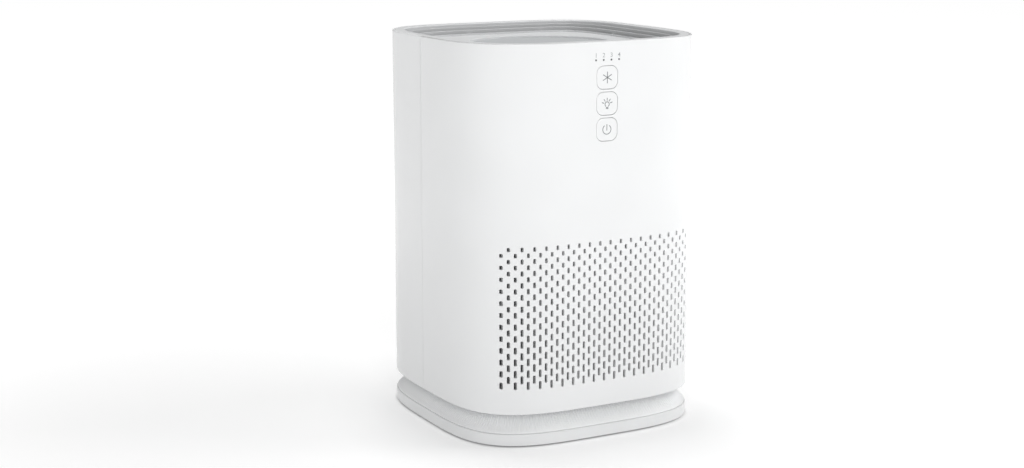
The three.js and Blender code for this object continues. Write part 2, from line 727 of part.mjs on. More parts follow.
// The deck that parts the chambers, with a rolled inlet lip round the fan's eye.
function fanDeckSolid() {
  const plate = slab(body.wall + chassis.clearance, -fan.deck, 0);
  const lip = bar(eyeRadius + fan.lipWall, -fan.deck, fan.bellHeight, 0, 0, roundSides);
  const flaredLip = new THREE.LatheGeometry([
    new THREE.Vector2(0, -fan.deck - 1),
    new THREE.Vector2(eyeRadius + 3, -fan.deck - 1),
    new THREE.Vector2(eyeRadius + 1, -fan.deck + 1),
    new THREE.Vector2(eyeRadius, 0),
    new THREE.Vector2(eyeRadius, fan.bellHeight + 1),
    new THREE.Vector2(0, fan.bellHeight + 1),
  ], roundSides).rotateX(Math.PI / 2);
  return cut(join(plate, lip), solid(flaredLip), ...leadHoles(-fan.deck - 1, 1));
}

const ductHeight = rimTop - outlet.rimDepth - outlet.bladeDepth - gap - fanDeckTop;
const ductCylinder = ductHeight - duct.flareHeight;
const leadHeight = duct.ledgeHeight + lead.aboveLedge;

// A round duct round the impeller that opens into the casing's outline under the outlet.
function fanHousing() {
  const skin = (extra, stretch) => loft([
    { points: circle(ductRadius - extra), z: gap - stretch },
    { points: circle(ductRadius - extra), z: ductCylinder },
    { points: outline(duct.mouthInset + extra), z: ductHeight + stretch },
  ]);
  const ledge = tube(
    ductRadius - duct.wall / 2, ductInner - duct.ledge, duct.ledgeHeight - duct.wall, duct.ledgeHeight,
  );
  const bendOut = new THREE.Vector2(leadX, -leadY).normalize().multiplyScalar(ductRadius);
  const leadSlot = solid(new THREE.BoxGeometry(3 * duct.wall + 4, 2 * (lead.radius + lead.clearance), 8)
    .rotateZ(Math.atan2(bendOut.y, bendOut.x)).translate(bendOut.x, bendOut.y, leadHeight));
  return cut(join(cut(skin(0, 0), skin(duct.wall, 0.5)), ledge), leadSlot);
}

// One backward-curved blade as an arc strip from the eye to the tip.
function bladeSolid(z0, z1) {
  const steps = 5;
  const innerRadius = eyeRadius + impeller.eyeGap;
  const edge = (shift) => Array.from({ length: steps + 1 }, (_, i) => {
    const share = i / steps;
    const radius = innerRadius + share * (impellerRadius - innerRadius - 0.5);
    const angle = shift / radius - impeller.bladeSweep * share ** 1.2;
    return new THREE.Vector2(radius * Math.cos(angle), radius * Math.sin(angle));
  });
  return raised([...edge(-impeller.bladeWall / 2), ...edge(impeller.bladeWall / 2).reverse()], z0, z1);
}

function impellerSolid() {
  const shroudBottom = impeller.lift;
  const bladeBottom = shroudBottom + impeller.plate;
  const bladeTop = bladeBottom + impeller.bladeHeight;
  const shroud = tube(impellerRadius, eyeRadius + impeller.eyeGap, shroudBottom, bladeBottom);
  const disc = bar(impellerRadius, bladeTop, bladeTop + impeller.plate, 0, 0, roundSides);
  const hub = bar(impeller.hub, bladeTop - impeller.hubHeight, bladeTop + lap, 0, 0, middleSides);
  const blades = around(impeller.blades, bladeSolid(bladeBottom - 0.5, bladeTop + 0.5));
  const bore = bar(motor.shaft + gap, 0, podBottom, 0, 0, smallSides);
  return cut(join(shroud, disc, hub, ...blades), bore);
}

function hubNut() {
  const top = impeller.lift + impeller.plate + impeller.bladeHeight - impeller.hubHeight - gap;
  const bottom = top - motor.nutHeight;
  return cut(
    bar(motor.nut, bottom, top, 0, 0, 6),
    bar(motor.shaft + gap, bottom - 1, top + 1, 0, 0, smallSides),
  );
}

function motorShaft() {
  const discBottom = impeller.lift + impeller.plate + impeller.bladeHeight;
  const bottom = discBottom - impeller.hubHeight - motor.nutHeight - motor.shaftPastNut;
  return bar(motor.shaft, bottom, motorBottom + motor.height - motor.shaftBelowTop, 0, 0, smallSides);
}

// The pod that holds the motor, on guide vanes that reach out to the duct.
function motorPod() {
  const top = podBottom + pod.height;
  const cup = cut(
    bar(podRadius, podBottom, top, 0, 0, roundSides),
    bar(podRadius - pod.wall, podBottom + pod.floor, top + 1, 0, 0, roundSides),
  );
  const ringOuter = ductInner * Math.cos(Math.PI / circleSides) - gap;
  const ringBottom = duct.ledgeHeight + gap;
  const ring = tube(ringOuter, ringOuter - 2, ringBottom, ringBottom + pod.vaneHeight);
  const vane = box(podRadius - 1, -1, ringBottom, ringOuter - 1, 1, ringBottom + pod.vaneHeight);
  const shaftHole = bar(motor.shaft + 3, podBottom - 1, podBottom + pod.floor + 1);
  const screwHole = bar(
    motor.screw + gap, podBottom - 1, podBottom + pod.floor + 1, earRadius, 0, pinSides,
  );
  const vanes = around(pod.vanes, vane, 180 / pod.vanes);
  return cut(join(cup, ring, ...vanes), shaftHole, ...around(3, screwHole), podLeadSlot());
}

// A notch in the pod's wall where the motor's lead leaves it.
function podLeadSlot() {
  const angle = Math.atan2(-leadY, leadX);
  return solid(new THREE.BoxGeometry(8, 2 * (lead.radius + lead.clearance), 12)
    .translate(podRadius, 0, 0).rotateZ(angle).translate(0, 0, leadHeight));
}

function motorSolid() {
  const can = bar(motor.radius, motorBottom, motorBottom + motor.height, 0, 0, roundSides);
  const ear = box(
    motor.radius - 3, -motor.earHalf, motorBottom,
    earRadius + motor.earTip, motor.earHalf, motorBottom + motor.earHeight,
  );
  const pockets = [motorBottom - 1, motorBottom + motor.height - motor.bearingHeight - gap]
    .map((z) => bar(motor.bearing + gap, z, z + motor.bearingHeight + gap + 1, 0, 0, middleSides));
  const bore = bar(motor.shaft + 1, motorBottom - 1, motorBottom + motor.height + 1);
  const screwHole = bar(motor.screw + gap, motorBottom - 1, motorBottom + 4, earRadius, 0, pinSides);
  return cut(join(can, ...around(3, ear)), ...pockets, bore, ...around(3, screwHole));
}

function bearingSolid(z0) {
  return cut(
    bar(motor.bearing, z0, z0 + motor.bearingHeight, 0, 0, middleSides),
    bar(motor.shaft + gap, z0 - 1, z0 + motor.bearingHeight + 1, 0, 0, smallSides),
  );
}

function motorScrewSolid() {
  const headBottom = motorBottom + motor.earHeight + gap;
  return join(
    bar(motor.screwHead, headBottom, headBottom + motor.screwHeadHeight),
    bar(motor.screw, podBottom + gap, headBottom + lap, 0, 0, pinSides),
  );
}

// ---------------------------------------------------------------- the outlet

// The insets of the ring blades, and how far each one's top is below the rim.
const bladeInsets = [1, 2, 3].map((i) => outlet.rim + i * outlet.slot + (i - 1) * outlet.blade);
const bladeTops = [1, 2, 3].map((i) => rimTop - i * outlet.stepDown - (i === 3 ? outlet.lastStep : 0));
const deckInset = bladeInsets[2];

function outletGrille() {
  const land = wallRing(body.wall + gap, outlet.rim, rimTop - outlet.rimDepth, rimTop);
  const skirtBottom = rimTop - outlet.rimDepth - outlet.bladeDepth;
  const skirt = wallRing(outlet.rim - outlet.skirt, outlet.rim, skirtBottom, rimTop - lap);
  const rings = bladeInsets.map((inset, i) => wallRing(
    inset, inset + outlet.blade, skirtBottom, bladeTops[i],
  ));
  const deckBottom = deckTop - deck.thickness;
  const plate = slab(deckInset, deckBottom, deckTop);
  const seatTop = deckTop - deck.discDrop - deck.thickness - gap;
  const seat = bar(deck.discRadius + deck.lip, seatTop - deck.thickness, deckTop - lap, 0, 0, roundSides);
  const discHole = bar(deck.discRadius, seatTop, deckTop + 1, 0, 0, roundSides);
  const seatEye = bar(deck.discRadius - deck.ledge, seatTop - 5, deckTop, 0, 0, roundSides);
  const ribLength = 2 * body.width;
  const ribBar = box(
    deck.discRadius, -outlet.ribHalf, skirtBottom,
    ribLength, outlet.ribHalf, skirtBottom + outlet.ribHeight,
  );
  const ribZone = wallRing(outlet.rim - lap, deckInset + lap, skirtBottom - 1, rimTop);
  const ribs = around(outlet.ribs, ribBar, outlet.ribTurn).map((rib) => rib.intersect(ribZone));
  return cut(join(land, skirt, ...rings, plate, seat, ...ribs), discHole, seatEye);
}

function centreDisc() {
  const top = deckTop - deck.discDrop;
  return bar(deck.discRadius - gap, top - deck.thickness, top, 0, 0, roundSides);
}

// ---------------------------------------------------------------- the leads

function leadAlong(points) {
  const path = new THREE.CatmullRomCurve3(points.map((p) => new THREE.Vector3(...p)), false, 'centripetal');
  const section = new THREE.Shape();
  section.absarc(0, 0, lead.radius, 0, 2 * Math.PI);
  return solid(new THREE.ExtrudeGeometry(section, {
    steps: 30, curveSegments: 2, extrudePath: path, bevelEnabled: false,
  }));
}

// Straight down a front corner and under the chassis to a socket of the main board.
function leadDown(side) {
  const turnX = boardSocket.x + 0.6 * lead.bend;
  return [
    [side * leadX, -leadY, fanDeckTop],
    [side * leadX, -leadY, (fanDeckTop + chassisTop) / 2],
    [side * leadX, -leadY, chassisTop],
    [side * leadX, -leadY, bodyBottom - 2 * boardSocket.edge],
    [side * turnX, -leadY + 2 * boardSocket.height, socketTop + boardSocket.height],
    [side * boardSocket.x, socketY, socketTop + 2],
  ];
}

// From the back of the control board, down the front left corner, to the main board.
function controlLead() {
  const boardBackY = boardFrontY + controlBoard.thickness;
  const behindBoard = boardBackY + 2 * lead.radius;
  const startZ = buttonHeights.at(-1) - tactSwitch.size;
  return leadAlong([
    [-controlBoard.width / 4, behindBoard, startZ],
    [-controlBoard.width * 0.73, behindBoard, startZ - 0.6 * lead.bend],
    [-leadX + 0.9 * lead.bend, -leadY - 0.5 * lead.bend, startZ - 2 * lead.bend],
    [-leadX, -leadY, startZ - 3.3 * lead.bend],
    ...leadDown(-1),
  ]);
}

// From the motor, through the duct's wall, down the front right corner, to the main board.
function motorLead() {
  const out = new THREE.Vector2(leadX, -leadY).normalize();
  const at = (radius, z) => [out.x * radius, out.y * radius, z];
  const height = fanDeckTop + leadHeight;
  return leadAlong([
    at(motor.radius + gap + lead.radius, height - 4),
    at(podRadius + 4, height),
    at(ductRadius - 10, height),
    at(ductRadius + 8, height - 2),
    [leadX, -leadY, height - lead.bend],
    ...leadDown(1),
  ]);
}

// ---------------------------------------------------------------- the scene

const purifier = new THREE.Group();

function groupAt(x, y, z) {
  const group = new THREE.Group();
  group.position.set(x, y, z);
  purifier.add(group);
  return group;
}

function place(group, name, piece, pieceMaterial, x = 0, y = 0, z = 0) {
  const mesh = new THREE.Mesh(geometryOf(piece), pieceMaterial);
  mesh.name = name;
  mesh.position.set(x, y, z);
  group.add(mesh);
}

const baseGroup = groupAt(0, 0, 0);
place(baseGroup, 'base_plate', basePlate(), materials.casing);
place(baseGroup, 'light_ring', lightRingSolid(), materials.diffuser);
place(baseGroup, 'led_ring_board', ledRingSolid(), materials.copperBoard);
place(baseGroup, 'main_board', mainBoardSolid(), materials.copperBoard);
place(baseGroup, 'dc_inlet', inletSolid(), materials.blackPart);
corners.forEach(([sx, sy]) => {
  place(baseGroup, cornerName('foot', sx, sy), footPad(), materials.rubber, sx * footX, sy * footY);
  place(
    baseGroup, cornerName('base_screw', sx, sy), baseScrewSolid(), materials.steel,
    sx * screwX, sy * screwY,
  );
});

const casingGroup = groupAt(0, 0, 0);
place(casingGroup, 'chassis', chassisSolid(), materials.frame);
place(casingGroup, 'interlock_switch', interlockSolid(), materials.blackPart);
place(casingGroup, 'front_shell', frontShell(), materials.casing);
place(casingGroup, 'rear_cover', rearCover(), materials.casing);
[[-1, 'left'], [1, 'right']].forEach(([sx, side]) => {
  place(casingGroup, `keeper_plate_${side}`, magnetDisc(-1, sx), materials.steel);
  place(casingGroup, `cover_magnet_${side}`, magnetDisc(1, sx), materials.steel);
});

const filterGroup = groupAt(0, 0, filterBottom);
place(filterGroup, 'filter_bottom_cap', filterBottomCap(), materials.filterCap);
place(filterGroup, 'filter_top_cap', filterTopCap(), materials.filterCap);
place(filterGroup, 'pleated_filter', pleatedPaper(), materials.paper);
place(filterGroup, 'carbon_core', carbonCore(), materials.carbonMesh);
place(filterGroup, 'prefilter_sleeve', prefilterSleeve(), materials.sleeveMesh);
place(filterGroup, 'filter_gasket', filterGasket(), materials.foam);
place(filterGroup, 'filter_pull_tab', pullTabSolid(), materials.blackPart);

const panelGroup = groupAt(0, 0, 0);
['fan', 'light', 'power'].forEach((name, i) => {
  place(panelGroup, `${name}_button`, buttonSolid(), materials.keys, 0, 0, buttonHeights[i]);
  place(panelGroup, `${name}_switch`, tactSwitchSolid(), materials.blackPart, 0, 0, buttonHeights[i]);
});
lampPlaces.forEach((x, i) => {
  place(panelGroup, `speed_light_pipe_${i + 1}`, lightPipe(), materials.lampLens, x, 0, lampZ);
});
place(panelGroup, 'control_board', controlBoardSolid(), materials.copperBoard);
[[-1, 'left'], [1, 'right']].forEach(([sx, side]) => {
  place(
    panelGroup, `board_screw_${side}`, boardScrewSolid(), materials.steel,
    sx * boardScrew.x, 0, boardScrewZ,
  );
});

const fanGroup = groupAt(0, 0, fanDeckTop);
place(fanGroup, 'fan_deck', fanDeckSolid(), materials.frame);
place(fanGroup, 'fan_housing', fanHousing(), materials.duct);
place(fanGroup, 'impeller', impellerSolid(), materials.rotor);
place(fanGroup, 'hub_nut', hubNut(), materials.steel);
place(fanGroup, 'motor_shaft', motorShaft(), materials.steel);
place(fanGroup, 'motor_pod', motorPod(), materials.duct);
place(fanGroup, 'fan_motor', motorSolid(), materials.motorCan);
place(fanGroup, 'motor_bearing_lower', bearingSolid(motorBottom), materials.steel);
place(
  fanGroup, 'motor_bearing_upper',
  bearingSolid(motorBottom + motor.height - motor.bearingHeight), materials.steel,
);
[0, 1, 2].forEach((i) => {
  const angle = (2 * Math.PI * i) / 3;
  place(
    fanGroup, `motor_screw_${i + 1}`, motorScrewSolid(), materials.steel,
    earRadius * Math.cos(angle), earRadius * Math.sin(angle),
  );
});

const topGroup = groupAt(0, 0, 0);
place(topGroup, 'outlet_grille', outletGrille(), materials.grille);
place(topGroup, 'centre_disc', centreDisc(), materials.disc);

place(purifier, 'control_lead', controlLead(), materials.blackPart);
place(purifier, 'motor_lead', motorLead(), materials.blackPart);

export default purifier;
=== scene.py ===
"""A compact tower air purifier, in metres, in the frame of its solid model.

The casing, base, outlet, keys and filter get fine surfaces of their own. The pieces inside the casing
are copies of their solids with softened edges. Every surface has a procedural material.
"""
import json
import math

import bmesh
import bpy
import numpy as np
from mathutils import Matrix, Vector, geometry


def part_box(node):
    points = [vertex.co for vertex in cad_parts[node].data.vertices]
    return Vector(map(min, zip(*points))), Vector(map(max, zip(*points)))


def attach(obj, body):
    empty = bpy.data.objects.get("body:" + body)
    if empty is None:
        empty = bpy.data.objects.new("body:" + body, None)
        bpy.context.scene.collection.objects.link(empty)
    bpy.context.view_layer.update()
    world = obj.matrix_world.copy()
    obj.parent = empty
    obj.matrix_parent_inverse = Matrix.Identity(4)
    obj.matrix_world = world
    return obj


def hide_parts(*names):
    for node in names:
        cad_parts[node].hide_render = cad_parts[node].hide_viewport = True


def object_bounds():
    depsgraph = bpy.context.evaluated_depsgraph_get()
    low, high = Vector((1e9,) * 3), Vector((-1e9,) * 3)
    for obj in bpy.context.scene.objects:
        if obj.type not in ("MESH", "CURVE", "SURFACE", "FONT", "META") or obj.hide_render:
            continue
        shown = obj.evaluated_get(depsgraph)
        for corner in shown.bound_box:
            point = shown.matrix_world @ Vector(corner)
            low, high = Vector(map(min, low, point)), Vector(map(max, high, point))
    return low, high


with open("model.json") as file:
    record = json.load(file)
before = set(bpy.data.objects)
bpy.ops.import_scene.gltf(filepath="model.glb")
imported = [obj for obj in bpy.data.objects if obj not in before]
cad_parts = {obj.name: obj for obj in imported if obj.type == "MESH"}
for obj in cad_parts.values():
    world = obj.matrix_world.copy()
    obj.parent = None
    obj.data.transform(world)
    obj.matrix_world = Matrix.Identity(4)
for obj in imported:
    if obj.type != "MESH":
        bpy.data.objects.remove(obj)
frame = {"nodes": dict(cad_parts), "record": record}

cad_low, cad_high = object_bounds()

# ---- sizes that follow the solid model

MM = 0.001
GAP = 0.3 * MM

half_width = cad_high.x
half_depth = cad_high.y
rim_top = cad_high.z
shell_low, shell_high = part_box("front_shell")
cover_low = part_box("rear_cover")[0]
body_bottom = shell_low.z
panel_y = -half_depth

PLAN_POWER = 3.7
WALL = 2.5 * MM
SEAM_LIP = 0.1 * MM

# The perforations: upright slots that get shorter towards the top and in the outermost columns. In front,
# each second column stands half a step higher.
FRONT_SLOT = {"columns": 37, "pitch_x": 5 * MM, "rows": 12, "pitch_z": 10 * MM, "width": 2.2 * MM,
              "low_height": 6.8 * MM, "high_height": 3.8 * MM, "first_z": body_bottom + 25 * MM,
              "edge_shares": (0.82, 0.88, 0.95)}
REAR_SLOT = {"columns": 19, "pitch_x": 10 * MM, "rows": 5, "pitch_z": 24 * MM, "width": 2.6 * MM,
             "low_height": 18 * MM, "high_height": 18 * MM, "first_z": body_bottom + 30.6 * MM,
             "edge_shares": ()}
SLOT_CORNER = 0.7 * MM

KEYS = ["fan_button", "light_button", "power_button"]
KEY_CORNER = 6 * MM
KEY_FLANGE = {"side": 2.7 * MM, "half_height": 7 * MM, "thickness": 1 * MM}
KEY_STEM_RADIUS = 3 * MM
LAMP_COUNT = 4
LAMP_RADIUS = 0.8 * MM
LAMP_CLEARANCE = 0.06 * MM
NUMERAL_RISE = 3.7 * MM
NUMERAL_SIZE = 5.2 * MM
SYMBOL_STROKE = 0.7 * MM

OUTLET = {"seam": 0.05 * MM, "rim": 11 * MM, "rim_depth": 3 * MM, "skirt": 1.5 * MM,
          "slot": 5.3 * MM, "blade": 1.2 * MM, "blades": 3,
          "step_down": 2.3 * MM, "last_drop": 0.5 * MM, "blade_depth": 7 * MM,
          "ribs": 8, "rib_half": 1 * MM, "rib_height": 2.2 * MM, "rib_turn": 15}
DECK = {"drop": 9 * MM, "thickness": 2 * MM, "hole": 62 * MM, "disc_drop": 1.8 * MM, "lip": 1.3 * MM,
        "ledge": 4 * MM}

BASE = {"rim": 8 * MM, "floor": 2.5 * MM, "screw_room": 0.5 * MM, "inlet_hole": 3.2 * MM}
LIGHT_RING = {"foot_inset": 1 * MM, "foot_lip": 0.8 * MM, "top_inset": 17.5 * MM, "wall": 2.4 * MM,
              "flute_pitch": 2.8 * MM, "flute_depth": 0.32 * MM}


def half_across(node):
    """Half of a node's width, which is the radius of a round one."""
    low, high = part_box(node)
    return (high.x - low.x) / 2


def middle(node, first=0, second=1):
    """A node's middle along two axes, X and Y if not told otherwise."""
    low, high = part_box(node)
    return (low[first] + high[first]) / 2, (low[second] + high[second]) / 2


# ---- outlines

def plan_at(turns, inset):
    """Points of the casing's outline in the directions given, moved inwards, and the outward normals."""
    cosine, sine = np.cos(turns), np.sin(turns)
    reach = np.abs(cosine / half_width) ** PLAN_POWER + np.abs(sine / half_depth) ** PLAN_POWER
    x = cosine * reach ** (-1 / PLAN_POWER)
    y = sine * reach ** (-1 / PLAN_POWER)
    normal_x = np.sign(x) * np.abs(x / half_width) ** (PLAN_POWER - 1) / half_width
    normal_y = np.sign(y) * np.abs(y / half_depth) ** (PLAN_POWER - 1) / half_depth
    length = np.hypot(normal_x, normal_y)
    normal_x, normal_y = normal_x / length, normal_y / length
    return x - inset * normal_x, y - inset * normal_y, normal_x, normal_y


def even_turns(count):
    """Directions that space that many points evenly along the casing's outline."""
    fine = np.linspace(0, 2 * math.pi, 7201)
    x, y, _, _ = plan_at(fine, 0)
    along = np.concatenate(([0], np.cumsum(np.hypot(np.diff(x), np.diff(y)))))
    return np.interp(np.linspace(0, along[-1], count, endpoint=False), along, fine)


def plan(count=288):
    """The casing's outline as a function of how far it is moved inwards."""
    turns = even_turns(count)

    def outline(inset):
        x, y, _, _ = plan_at(turns, inset)
        return np.column_stack((x, y))
    return outline


def circle(radius, centre=(0, 0), sides=72):
    turns = np.linspace(0, 2 * math.pi, sides, endpoint=False)
    spokes = np.column_stack((np.cos(turns), np.sin(turns)))
    return lambda inset: np.array(centre) + (radius - inset) * spokes


def rounded_box(half_x, half_y, corner, centre=(0, 0), corner_steps=8):
    """A rectangle with round corners, anticlockwise."""
    turns = np.linspace(0, math.pi / 2, corner_steps + 1)
    arcs = []
    for quarter, (side_x, side_y) in enumerate([(1, 1), (-1, 1), (-1, -1), (1, -1)]):
        arcs += [(side_x, side_y, turn + quarter * math.pi / 2) for turn in turns]

    def outline(inset):
        radius = max(corner - inset, 1e-6)
        straight_x, straight_y = half_x - inset - radius, half_y - inset - radius
        return np.array([(centre[0] + side_x * straight_x + radius * math.cos(turn),
                          centre[1] + side_y * straight_y + radius * math.sin(turn))
                         for side_x, side_y, turn in arcs])
    return outline


def slot(centre_x, centre_z, width, height):
    """An upright slot with round corners."""
    return rounded_box(width / 2, height / 2, SLOT_CORNER, (centre_x, centre_z), 3)


def rounded(corners, radius, steps=3):
    """A closed outline with an arc at each corner, of the radius or of the corner's own third number."""
    points = []
    for index, corner in enumerate(corners):
        here = Vector(corner[:2])
        back = Vector(corners[index - 1][:2]) - here
        ahead = Vector(corners[(index + 1) % len(corners)][:2]) - here
        own_radius = corner[2] if len(corner) > 2 else radius
        angle = back.angle(ahead)
        if own_radius == 0 or angle > math.radians(175):
            points.append(tuple(here))
            continue
        cut = min(own_radius / math.tan(angle / 2), 0.48 * back.length, 0.48 * ahead.length)
        start, end = here + back.normalized() * cut, here + ahead.normalized() * cut
        bow = cut * math.tan(angle / 2)
        centre = here + (back.normalized() + ahead.normalized()).normalized() * bow / math.sin(angle / 2)
        sweep = (start - centre).angle(end - centre)
        for step in range(steps + 1):
            share = step / steps
            from_start = (start - centre) * math.sin((1 - share) * sweep)
            from_end = (end - centre) * math.sin(share * sweep)
            points.append(tuple(centre + (from_start + from_end) / math.sin(sweep)))
    return points


# ---- shapes: a list of points and faces

def through(rings, closed=False):
    """A shape through rings of points with equal counts, capped at both ends or closed on itself."""
    count = len(rings[0])
    points = [tuple(point) for ring in rings for point in ring]
    faces = []
    for ring in range(len(rings) if closed else len(rings) - 1):
        low, high = ring * count, (ring + 1) % len(rings) * count
        faces += [(low + i, low + (i + 1) % count, high + (i + 1) % count, high + i) for i in range(count)]
    if not closed:
        faces += [tuple(range(count)), tuple(range(len(points) - count, len(points)))]
    return points, faces


def upright(outline, layers, closed=False):
    """Layers of (inset, z), stacked along Z."""
    return through([[(x, y, z) for x, y in outline(inset)] for inset, z in layers], closed)


def backward(outline, layers, closed=False):
    """Layers of (inset, y), stacked along Y, of an outline in the X-Z plane."""
    return through([[(x, y, z) for x, z in outline(inset)] for inset, y in layers], closed)


def soft_layers(near, far, edge, far_edge=None, steps=3):
    """The layers of a prism with rounded edges, from the level near to the level far."""
    far_edge = edge if far_edge is None else far_edge
    way = 1 if far > near else -1
    layers = []
    for step in range(steps + 1):
        turn = step / steps * math.pi / 2
        layers.append((edge * (1 - math.sin(turn)), near + way * edge * (1 - math.cos(turn))))
    for step in range(steps + 1):
        turn = step / steps * math.pi / 2
        layers.append((far_edge * (1 - math.cos(turn)), far - way * far_edge * (1 - math.sin(turn))))
    return layers


def lathe_ring(corners, edge, sides, centre=(0, 0)):
    """A ring turned from the corners (radius, z) of its section."""
    profile = rounded(corners, edge)
    unit = circle(0, centre, sides)
    return upright(unit, [(-radius, z) for radius, z in profile], closed=True)


def block(low, high, edge):
    """A box between two corners with rounded edges."""
    middle = [(low[i] + high[i]) / 2 for i in range(3)]
    half = [(high[i] - low[i]) / 2 for i in range(3)]
    outline = rounded_box(half[0], half[1], edge, middle[:2], 3)
    return upright(outline, soft_layers(low[2], high[2], edge))


def merged(*shapes):
    points, faces = [], []
    for shape_points, shape_faces in shapes:
        start = len(points)
        points += shape_points
        faces += [tuple(start + index for index in face) for face in shape_faces]
    return points, faces


def turned_about_z(shape, degrees):
    cosine, sine = math.cos(math.radians(degrees)), math.sin(math.radians(degrees))
    points, faces = shape
    return [(x * cosine - y * sine, x * sine + y * cosine, z) for x, y, z in points], faces


# ---- pieces

def placed(name, data):
    """A new object in the scene."""
    thing = bpy.data.objects.new(name, data)
    bpy.context.scene.collection.objects.link(thing)
    return thing


def new_object(name, mesh, material):
    mesh.materials.append(material)
    return placed(name, mesh)


def smooth(piece, sharp_degrees=38):
    """Smooth shading that leaves real edges crisp and flat faces flat."""
    piece.data.shade_smooth()
    piece.data.set_sharp_from_angle(angle=math.radians(sharp_degrees))
    normals = piece.modifiers.new("even_normals", "WEIGHTED_NORMAL")
    normals.keep_sharp = True


def shape_mesh(name, shape):
    """A mesh of a shape, with its normals outwards."""
    points, faces = shape
    mesh = bpy.data.meshes.new(name)
    mesh.from_pydata(points, [], faces)
    work = bmesh.new()
    work.from_mesh(mesh)
    bmesh.ops.recalc_face_normals(work, faces=work.faces)
    work.to_mesh(mesh)
    work.free()
    return mesh


def make(name, shape, material, body, slot_name, *nodes, sharp_degrees=38):
    """A piece from a shape, riding on a body in place of its nodes."""
    piece = new_object(name, shape_mesh(name, shape), material)
    smooth(piece, sharp_degrees)
    return settle(piece, body, slot_name, *nodes)


def settle(piece, body, slot_name, *nodes):
    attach(piece, body)
    if nodes:
        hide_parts(*nodes)
    return piece


# ---- moulded walls with openings

def region_triangles(loops, inside_points):
    """Triangles that fill the first loop apart from the others, as indices into all the points in order."""
    points, faces = [], []
    for loop in loops:
        faces.append(list(range(len(points), len(points) + len(loop))))
        points += [Vector(point) / MM for point in loop]
    points += [Vector(point) / MM for point in inside_points]
    _, _, triangles, sources, _, owners = geometry.delaunay_2d_cdt(points, [], faces, 0, 1e-5)
    return [tuple(sources[corner][0] for corner in triangle)
            for triangle, owner in zip(triangles, owners) if list(owner) == [0]]


def moulded(rim, openings, place, thickness, inside_points, mirrored=False):
    """A wall of even thickness with rounded outer edges.

    rim and each of openings is (outline, edge radius). place maps plane points and a depth to points and
    to the normals of the outer face. It returns the points, the faces and a normal for each face corner.
    """
    loops = [(rim[0], 1, rim[1])] + [(outline, -1, edge) for outline, edge in openings]
    points, normals, faces, corner_normals = [], [], [], []

    def add_points(plane_points, depth):
        start = len(points)
        placed, facing = place(np.asarray(plane_points), depth)
        points.extend(map(tuple, placed))
        normals.extend(map(tuple, facing))
        return start

    def add_face(indices, facings):
        if mirrored:
            indices, facings = indices[::-1], facings[::-1]
        faces.append(indices)
        corner_normals.extend(facings)

    starts = []
    for depth, side in ((0, 1), (thickness, -1)):
        plane_loops = [outline(0 if depth else way * edge) for outline, way, edge in loops]
        start = add_points(np.concatenate([*plane_loops, inside_points]), depth)
        for triangle in region_triangles(plane_loops, inside_points):
            indices = tuple(start + corner for corner in triangle[::side])
            add_face(indices, [tuple(side * value for value in normals[index]) for index in indices])
        starts.append(start)
    outer_start, inner_start = starts

    offset = 0
    for outline, way, edge in loops:
        flush = outline(0)
        count = len(flush)
        edge_points, facing = place(outline(way * edge), edge)
        flush_points, _ = place(flush, edge)
        free = flush_points - edge_points
        free /= np.linalg.norm(free, axis=1)[:, None]
        half = math.sqrt(0.5)
        layers = [(outer_start + offset, facing),
                  (add_points(outline(way * edge * (1 - half)), edge * (1 - half)), half * (facing + free)),
                  (add_points(flush, edge), free),
                  (inner_start + offset, free)]
        for (near, near_facing), (far, far_facing) in zip(layers, layers[1:]):
            for i in range(count):
                j = (i + 1) % count
                indices = (near + i, near + j, far + j, far + i)
                facings = [tuple(near_facing[i]), tuple(near_facing[j]),
                           tuple(far_facing[j]), tuple(far_facing[i])]
                if way > 0:
                    indices, facings = indices[::-1], facings[::-1]
                add_face(indices, facings)
        offset += count
    return points, faces, corner_normals


def make_moulded(name, built, material):
    points, faces, corner_normals = built
    mesh = bpy.data.meshes.new(name)
    mesh.from_pydata(points, [], faces)
    mesh.shade_smooth()
    mesh.normals_split_custom_set(corner_normals)
    return new_object(name, mesh, material)


def flat_place(top, facing=1):
    """Places plane points at a level, with the depth measured away from the outer face."""
    def place(plane_points, depth):
        count = len(plane_points)
        level = np.full(count, top - facing * depth)
        return np.column_stack((plane_points, level)), np.tile((0, 0, facing), (count, 1)).astype(float)
    return place


